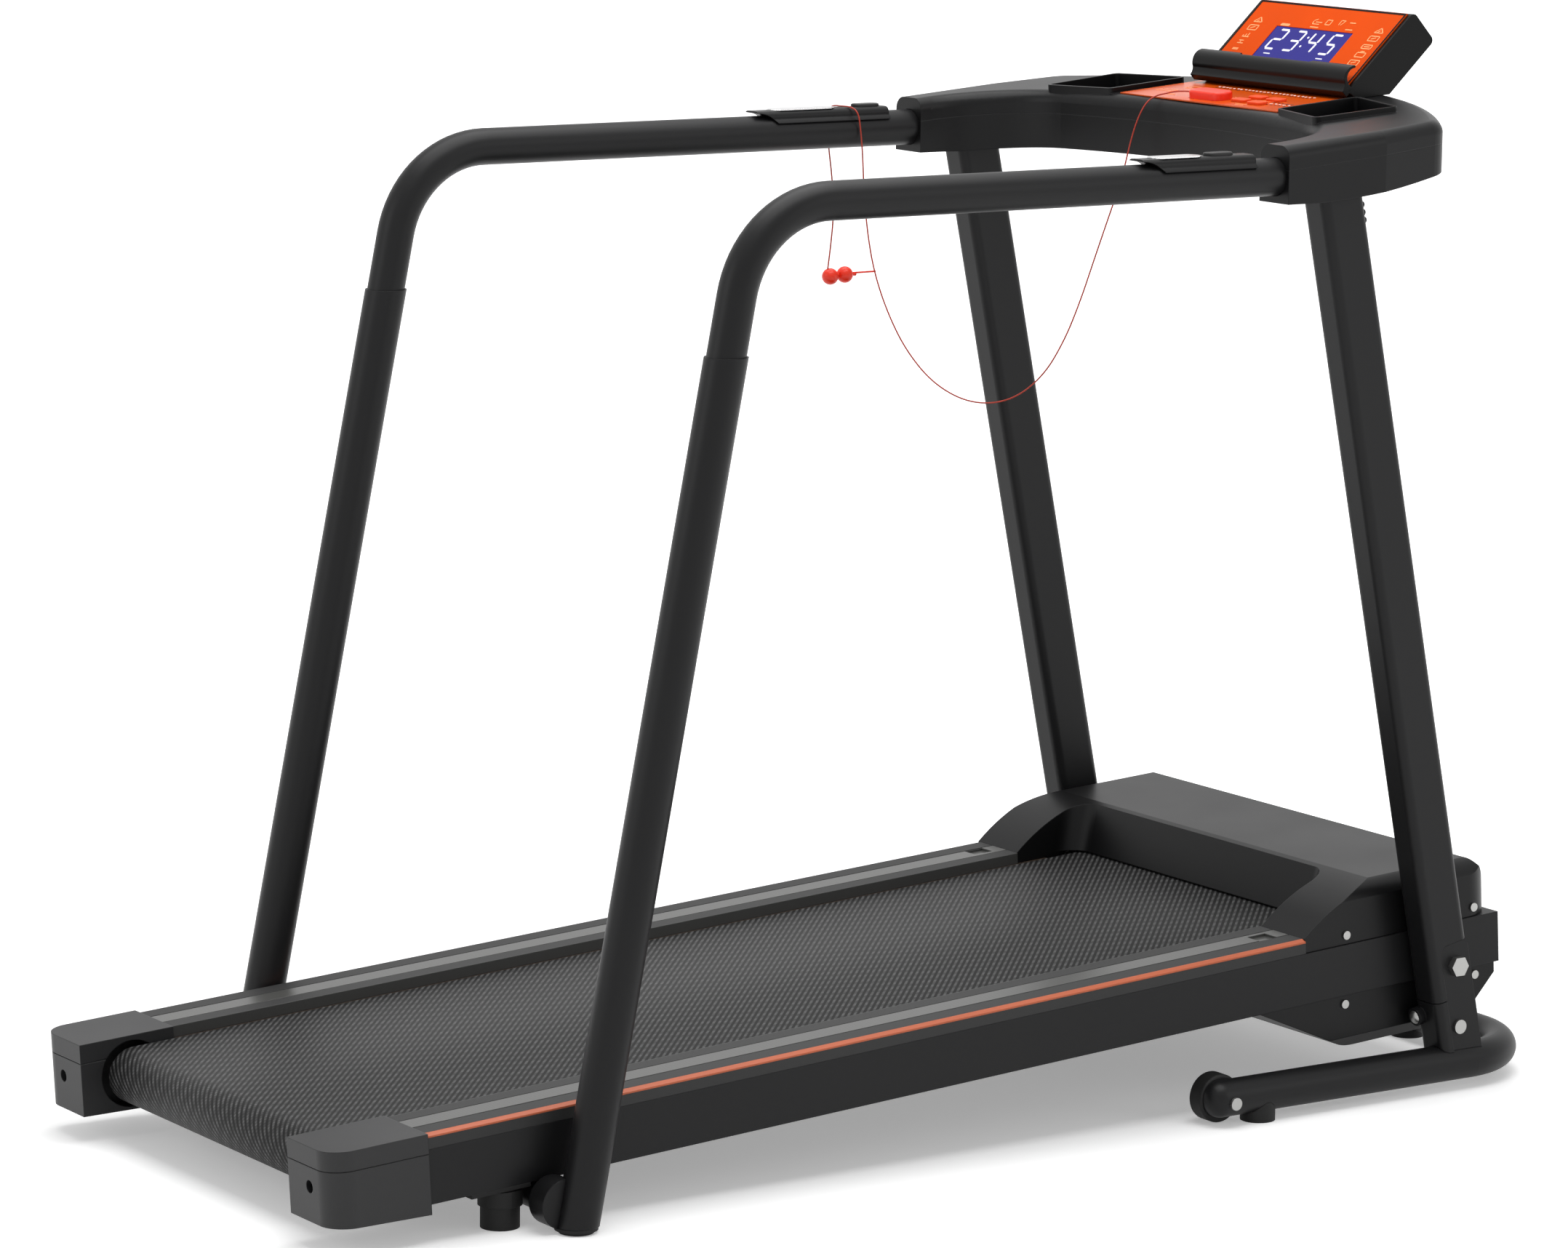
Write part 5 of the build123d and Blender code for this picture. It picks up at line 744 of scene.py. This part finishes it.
@dataclass
class Display:
    """The lit clock digits on the display, each of up to seven bars."""

    left_edges: tuple = (-53.5, -24.0, 6.0, 36.5)
    text: str = "2345"
    low: float = 41.0
    wide: float = 14.5
    tall: float = 28.0
    bar: float = 2.7
    lean: float = 0.10
    bars: dict = field(default_factory=lambda: {"2": "abged", "3": "abgcd", "4": "fgbc",
                                                 "5": "afgcd"})

    def digit(self, figure: str, left: float) -> list[tuple]:
        """Give the bars of one digit.

        Args:
            figure: The digit.
            left: Its left edge.

        Returns:
            Strokes with their width, before they lean.
        """
        gap, right = 0.5, left + self.wide
        low, middle, top = self.low, self.low + self.tall / 2.0, self.low + self.tall
        ends = {"a": (left + gap, top, right - gap, top),
                "g": (left + gap, middle, right - gap, middle),
                "d": (left + gap, low, right - gap, low),
                "b": (right, middle + gap, right, top - gap),
                "c": (right, low + gap, right, middle - gap),
                "e": (left, low + gap, left, middle - gap),
                "f": (left, middle + gap, left, top - gap)}
        return [ends[letter] + (self.bar,) for letter in self.bars[figure]]

    def build(self) -> bpy.types.Object:
        """Lay every bar, the colon's two dots and the two short marks under the digits.

        Returns:
            The piece.
        """
        rows = []
        for figure, left in zip(self.text, self.left_edges):
            rows += self.digit(figure, left)
        middle = self.low + self.tall / 2.0
        for height in (middle - 6.5, middle + 6.5):
            rows.append((-2.2, height, 1.2, height, 2.8))
        for left in (-48.0, 40.0):
            rows.append((left, self.low - 7.0, left + 11.0, self.low - 7.0, 1.3))
        strokes = np.array(rows)
        strokes[:, [0, 2]] += self.lean * (strokes[:, [1, 3]] - middle)
        face = FlatFace.of("monitor_fascia", FASCIA_TILT)
        window = FlatFace.of("display_window", FASCIA_TILT)
        shift = float((window.origin - face.origin) @ face.out)
        return strokes_piece("display_digits", face, strokes, LCD_WHITE,
                             low=shift - 0.0002, high=shift + 0.0003)


@dataclass
class Prints:
    """Small generic line marks printed on the fascia and round the console's keys."""

    left_rows: tuple = (84.5, 72.5, 61.5, 51.0, 40.5)
    right_rows: tuple = (86.0, 74.0, 62.0, 50.0, 38.5)
    left_middle: float = -99.5
    right_middle: float = 102.0
    border_width: float = 2.4
    border_inset: float = 0.4

    def fascia(self) -> bpy.types.Object:
        """Draw five outlines on each side of the display and a few marks above it.

        Returns:
            The piece.
        """
        hill = [(-7, -3.5, 0, 3.5), (0, 3.5, 7, -3.5), (7, -3.5, -7, -3.5), (-2, -3, 1, 0)]
        board = ring_of(15, 7) + [(-4, -1, 3, 1.5)]
        steps = [(-6, -3, 6, -3), (-5, -3, -5, 0), (-1, -3, -1, 1.5), (3, -3, 3, 3)]
        tag = [(-5, -2, 5, -2), (-5, 2, 3, 2), (-1, -2, -1, 2)]
        bar = [(-5, -0.8, 5, -0.8), (-5, 0.8, 5, 0.8)]
        pill = ring_of(15, 5.5) + [(-5, 0, 5, 0)]
        case = ring_of(14, 6.5) + [(-3, 3.2, -3, 5), (-3, 5, 3, 5)]
        rows = []
        for shape, height in zip((hill, board, steps, tag, bar), self.left_rows):
            rows += placed(shape, self.left_middle, height, 1.3)
        for shape, height in zip((hill, board, pill, case, board), self.right_rows):
            rows += placed(shape, self.right_middle, height, 1.3)
        rows += placed([(-8, 0, 8, 0)], -52.0, 81.0, 3.6)
        shoe = [(-6, -3.5, 5, -3.5), (-6, -3.5, -7, 1), (-7, 1, -2, 4), (-3, -0.5, 8, -0.5)]
        flag = [(-3, -3.5, -3, 3.5), (-3, 3.5, 4, 3.5), (4, 3.5, 0, -3.5)]
        rows += placed(shoe, -5.0, 89.5, 1.2)
        rows += placed(ring_of(8, 7), 13.0, 90.0, 1.2)
        rows += placed(flag, 34.0, 91.0, 1.2)
        rows += placed([(-5, 0, 5, 0)], 51.0, 92.5, 1.3)
        rows += placed([(-7, 0, 7, 0)], -4.0, 81.5, 1.5)
        rows += placed([(-6, 0, 6, 0)], 53.0, 82.5, 1.5)
        face = FlatFace.of("monitor_fascia", FASCIA_TILT)
        strokes = np.array(rows, dtype=float)
        strokes[:, [1, 3]] -= 5.0
        return strokes_piece("fascia_marks", face, strokes, PALE_INK)

    def border(self) -> bpy.types.Object:
        """Print the dark border round the fascia, a little in from its upper and side edges.

        Returns:
            The piece.
        """
        low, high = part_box("monitor_fascia")
        wide = (high.x - low.x) * MM_PER_M
        turn = math.radians(FASCIA_TILT)
        rise = high.y - low.y - FASCIA_THICKNESS * math.sin(turn)
        tall = MM_PER_M * rise / math.cos(turn)
        rim = self.border_width
        x, y = wide / 2.0 - rim / 2.0 - self.border_inset, tall - rim / 2.0 - self.border_inset
        rows = [(-x - rim / 2.0, rim / 2.0, x + rim / 2.0, rim / 2.0, rim),
                (x, rim, x, y - rim / 2.0, rim), (x + rim / 2.0, y, -x - rim / 2.0, y, rim),
                (-x, y - rim / 2.0, -x, rim, rim)]
        face = FlatFace.of("monitor_fascia", FASCIA_TILT)
        return strokes_piece("fascia_border", face, np.array(rows), RIM_INK,
                             tip=0.0)

    def keypad(self) -> list[bpy.types.Object]:
        """Draw the row of small white marks with dark dashes as their painted shadows, and the
        pale lines round the keys.

        Returns:
            The pieces.
        """
        face = FlatFace.of("control_panel", KEYPAD_TILT)
        pitch = 6.4
        run = np.arange(-74.0, 88.0, pitch)
        chance = np.random.default_rng(7)
        rise = 86.0 + chance.uniform(-0.8, 0.8, len(run))
        tilt = chance.uniform(-1.4, 1.4, len(run))
        white = np.stack([run, rise - tilt, run + 3.6, rise + tilt, np.full_like(run, 2.6)],
                         axis=1)
        # Each dark dash is a painted shadow, drawn offset from its white dash; the same holds for
        # the cluster below.
        dark = white + np.array([2.6, -6.0, 2.2, -6.0, 1.6])
        cluster = np.arange(80.0, 112.0, 7.0)
        extra = np.array([(x, 26.0 + 0.3 * (x - 80.0) % 3, x + 4.0, 27.5, 1.8) for x in cluster])
        white = np.vstack([white, extra + np.array([1.0, 6.0, 1.0, 6.0, 0.0])])
        dark = np.vstack([dark, extra, extra + np.array([-2.0, 12.0, -1.0, 12.0, 0.0])])
        pale = np.array(
            placed([(-12, 0, 12, 0), (-12, -4, 6, -4)], 22.0, 42.0, 1.2)
            + placed([(-14, 0, 16, 1)], 60.0, 41.0, 1.2)
            + placed([(-10, 0, 10, 0), (-4, -5, 10, -5)], 56.0, 14.0, 1.2)
            + placed(ring_of(26, 10), -104.0, 40.0, 1.2)
            + placed(ring_of(24, 10), -88.0, 66.0, 1.2)
            + placed([(-10, 0, 10, 0), (-10, 4, 4, 4)], -74.0, 20.0, 1.2), dtype=float)
        return [
            strokes_piece("keypad_white_marks", face, white, WHITE_INK),
            strokes_piece("keypad_painted_shadow_dashes", face, dark, SHADOW_DASH_INK),
            strokes_piece("keypad_pale_lines", face, pale, PALE_INK),
        ]

    def build(self) -> list[bpy.types.Object]:
        """Draw every print.

        Returns:
            The pieces.
        """
        return [self.fascia(), self.border()] + self.keypad()


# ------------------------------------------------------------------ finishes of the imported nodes
def dress_nodes() -> None:
    """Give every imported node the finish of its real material."""
    plan = {
        POWDER_BLACK: ("base_tube", "base_brackets", "upright_left", "upright_right", "post_left",
                       "post_right", "post_cross_tube", "handrail_left", "handrail_right",
                       "side_tube_left", "side_tube_right", "cross_members", "motor"),
        ABS_BLACK: ("console_lower", "console_upper", "grip_pad_left", "grip_pad_right", "hood",
                    "belly_pan", "cable_clip", "power_inlet"),
        ABS_ETCHED: ("rear_cap_left", "rear_cap_right"),
        ABS_GLOSS: ("monitor_shell", "tablet_ledge"),
        RAIL_STRIPES: ("foot_rail_left", "foot_rail_right"),
        PANEL_ORANGE: ("monitor_fascia",),
        KEYPAD_ORANGE: ("control_panel",),
        TRIM_ORANGE: ("trim_strips",),
        ABS_RED: ("safety_key", "cord_clip", "power_switch"),
        RUBBER_BLACK: ("rubber_feet", "deck_feet", "wheel_left", "wheel_right", "drive_belt"),
        KEY_ORANGE: ("key_start", "key_stop", "key_faster", "key_slower"),
        KEY_RUBBER: ("grip_key_left", "grip_key_right"),
        BOARD_WOOD: ("deck_board",),
        ZINC: ("pivot_bolts", "frame_bolts", "lock_pin", "cover_screws", "roller_shafts",
               "front_roller", "rear_roller"),
        PULSE_STEEL: ("pulse_plates",),
        TURNED_IRON: ("flywheel", "cap_bolts"),
        FOLDED_ALUMINIUM: ("motor_controller",),
        SOLDER_MASK: ("console_board",),
        LCD_BLUE: ("display_window",),
    }
    for finish, nodes in plan.items():
        material = finish.make()
        for node in nodes:
            dress(node, material)
        log.info("%s on %d nodes", material.name, len(nodes))


# ------------------------------------------------------------------ studio
@dataclass
class Studio:
    """Pale floor, soft lights, white surroundings and the camera."""

    camera_place: tuple = (4.9915, -3.3880, 1.5166)
    forward: tuple = (-0.81836, 0.54981, -0.16733)
    right: tuple = (0.55596, 0.83113, 0.01189)
    up: tuple = (-0.14561, 0.0833, 0.98583)
    lens: float = 138.30
    floor_reach: float = 30.0
    # Glow near the machine and far from it; the weaker near glow is painted shade round the
    # machine.
    floor_lift: tuple = (0.32, 0.95)
    lights: tuple = field(default_factory=lambda: (
        ("overhead", (0.0, 0.2, 3.6), (0.0, 0.2, 0.3), 3.4, 3.0, 116.0),
        ("left_window", (-0.6, -4.4, 2.2), (0.0, 0.0, 0.5), 2.2, 2.0, 26.0),
        ("right_fill", (3.8, 2.6, 2.2), (0.0, 0.2, 0.5), 2.0, 2.0, 18.0),
    ))

    def seen(self, tree: bpy.types.NodeTree) -> bpy.types.NodeSocket:
        """Tell where the surroundings are looked at, straight, mirrored or through glass.

        Args:
            tree: Node tree that gets the nodes.

        Returns:
            One for those rays, nought for the rays that only light a surface.
        """
        path = add_node(tree, "ShaderNodeLightPath")
        mirrored = add_node(tree, "ShaderNodeMath", {0: path.outputs["Is Camera Ray"],
                            1: path.outputs["Is Glossy Ray"]}, operation="MAXIMUM")
        through = add_node(tree, "ShaderNodeMath", {0: mirrored.outputs[0],
                           1: path.outputs["Is Transmission Ray"]}, operation="MAXIMUM")
        return through.outputs[0]

    def floor(self) -> bpy.types.Object:
        """Lay a flat pale floor, as one square grid cell, with a faintly uneven tone and a glow
        for seen rays that is weakest round the machine as painted shade.

        Returns:
            The floor.
        """
        reach = self.floor_reach
        low = float(CAD_BOX[0][2])
        span = np.array([-reach, reach])
        across, along = np.meshgrid(span, span, indexing="ij")
        grid = np.stack([across, along, np.full_like(across, low)], axis=-1)
        plane = put_surface("studio_floor", grid[::-1])
        material, tree, shader = new_material("matte_white_floor")
        place = add_node(tree, "ShaderNodeTexCoord")
        noise = add_node(tree, "ShaderNodeTexNoise", {"Vector": place.outputs["Object"]},
                         in_Scale=0.7)
        tone = add_node(tree, "ShaderNodeMapRange", {"Value": noise.outputs["Fac"]},
                        in_3=0.86, in_4=0.9)
        colour = add_node(tree, "ShaderNodeCombineColor", {0: tone.outputs[0],
                          1: tone.outputs[0], 2: tone.outputs[0]})
        tree.links.new(colour.outputs[0], shader.inputs["Base Color"])
        shader.inputs["Roughness"].default_value = 0.6
        # Painted shade: the glow for seen rays is weakest near the machine, so the floor round and
        # under it reads darker, and rises to near white from 3 m out.
        near, far = self.floor_lift
        length = add_node(tree, "ShaderNodeVectorMath", {0: place.outputs["Object"]},
                          operation="LENGTH")
        painted_floor_glow = add_node(tree, "ShaderNodeMapRange", {"Value": length.outputs["Value"]},
                              interpolation_type="SMOOTHSTEP", in_1=0.5, in_2=3.0, in_3=near,
                              in_4=far)
        lift = add_node(tree, "ShaderNodeMath", {0: self.seen(tree), 1: painted_floor_glow.outputs[0]},
                        operation="MULTIPLY")
        glow = add_node(tree, "ShaderNodeEmission", {"Strength": lift.outputs[0]})
        both = add_node(tree, "ShaderNodeAddShader", {0: shader.outputs[0], 1: glow.outputs[0]})
        tree.links.new(both.outputs[0], tree.nodes["Material Output"].inputs["Surface"])
        plane.data.materials.append(material)
        return plane

    def lamp(self, name: str, place: tuple, target: tuple, wide: float, tall: float,
             power: float) -> None:
        """Hang one soft rectangular light that faces a point.

        Args:
            name: Light name.
            place: Where it hangs.
            target: Point that it faces.
            wide: Width in metres.
            tall: Height in metres.
            power: Power in watts.
        """
        data = bpy.data.lights.new(name, "AREA")
        data.shape = "RECTANGLE"
        data.size = wide
        data.size_y = tall
        data.energy = power
        lamp = bpy.data.objects.new(name, data)
        lamp.location = place
        heading = Vector(target) - Vector(place)
        lamp.rotation_euler = heading.to_track_quat("-Z", "Y").to_euler()
        bpy.context.scene.collection.objects.link(lamp)

    def surroundings(self) -> None:
        """Light softly from all round: white where it is seen, dimmer where it only lights."""
        world = bpy.data.worlds.new("white_studio")
        bpy.context.scene.world = world
        world.use_nodes = True
        tree = world.node_tree
        tree.nodes.clear()
        strength = add_node(tree, "ShaderNodeMapRange", {"Value": self.seen(tree)}, in_3=0.4,
                            in_4=1.0)
        shader = add_node(tree, "ShaderNodeBackground", {"Strength": strength.outputs[0]},
                          in_Color=linear("FFFFFF"))
        add_node(tree, "ShaderNodeOutputWorld", {"Surface": shader.outputs[0]})

    def camera(self) -> None:
        """Set the camera by its place and its three axes."""
        data = bpy.data.cameras.new("camera")
        data.sensor_width = 36.0
        data.sensor_fit = "HORIZONTAL"
        data.lens = self.lens
        data.clip_end = 100.0
        camera = bpy.data.objects.new("camera", data)
        turn = Matrix((self.right, self.up, tuple(-v for v in self.forward))).transposed()
        camera.matrix_world = Matrix.Translation(self.camera_place) @ turn.to_4x4()
        bpy.context.scene.collection.objects.link(camera)
        bpy.context.scene.camera = camera

    def build(self) -> None:
        """Set up floor, lights, surroundings and camera."""
        self.floor()
        for lamp in self.lights:
            self.lamp(*lamp)
        self.surroundings()
        self.camera()
        bpy.context.scene.view_settings.view_transform = "Standard"


def main() -> None:
    """Build every piece in order and report it."""
    logging.basicConfig(level=logging.INFO, format="%(message)s")
    Studio().build()
    log.info("studio ready")
    pieces = [Tether().build(), RunningBelt().build(), Display().build(), *Prints().build()]
    for piece in pieces:
        log.info("built %s", piece.name)
    dress_nodes()


if __name__ == "__main__":
    main()
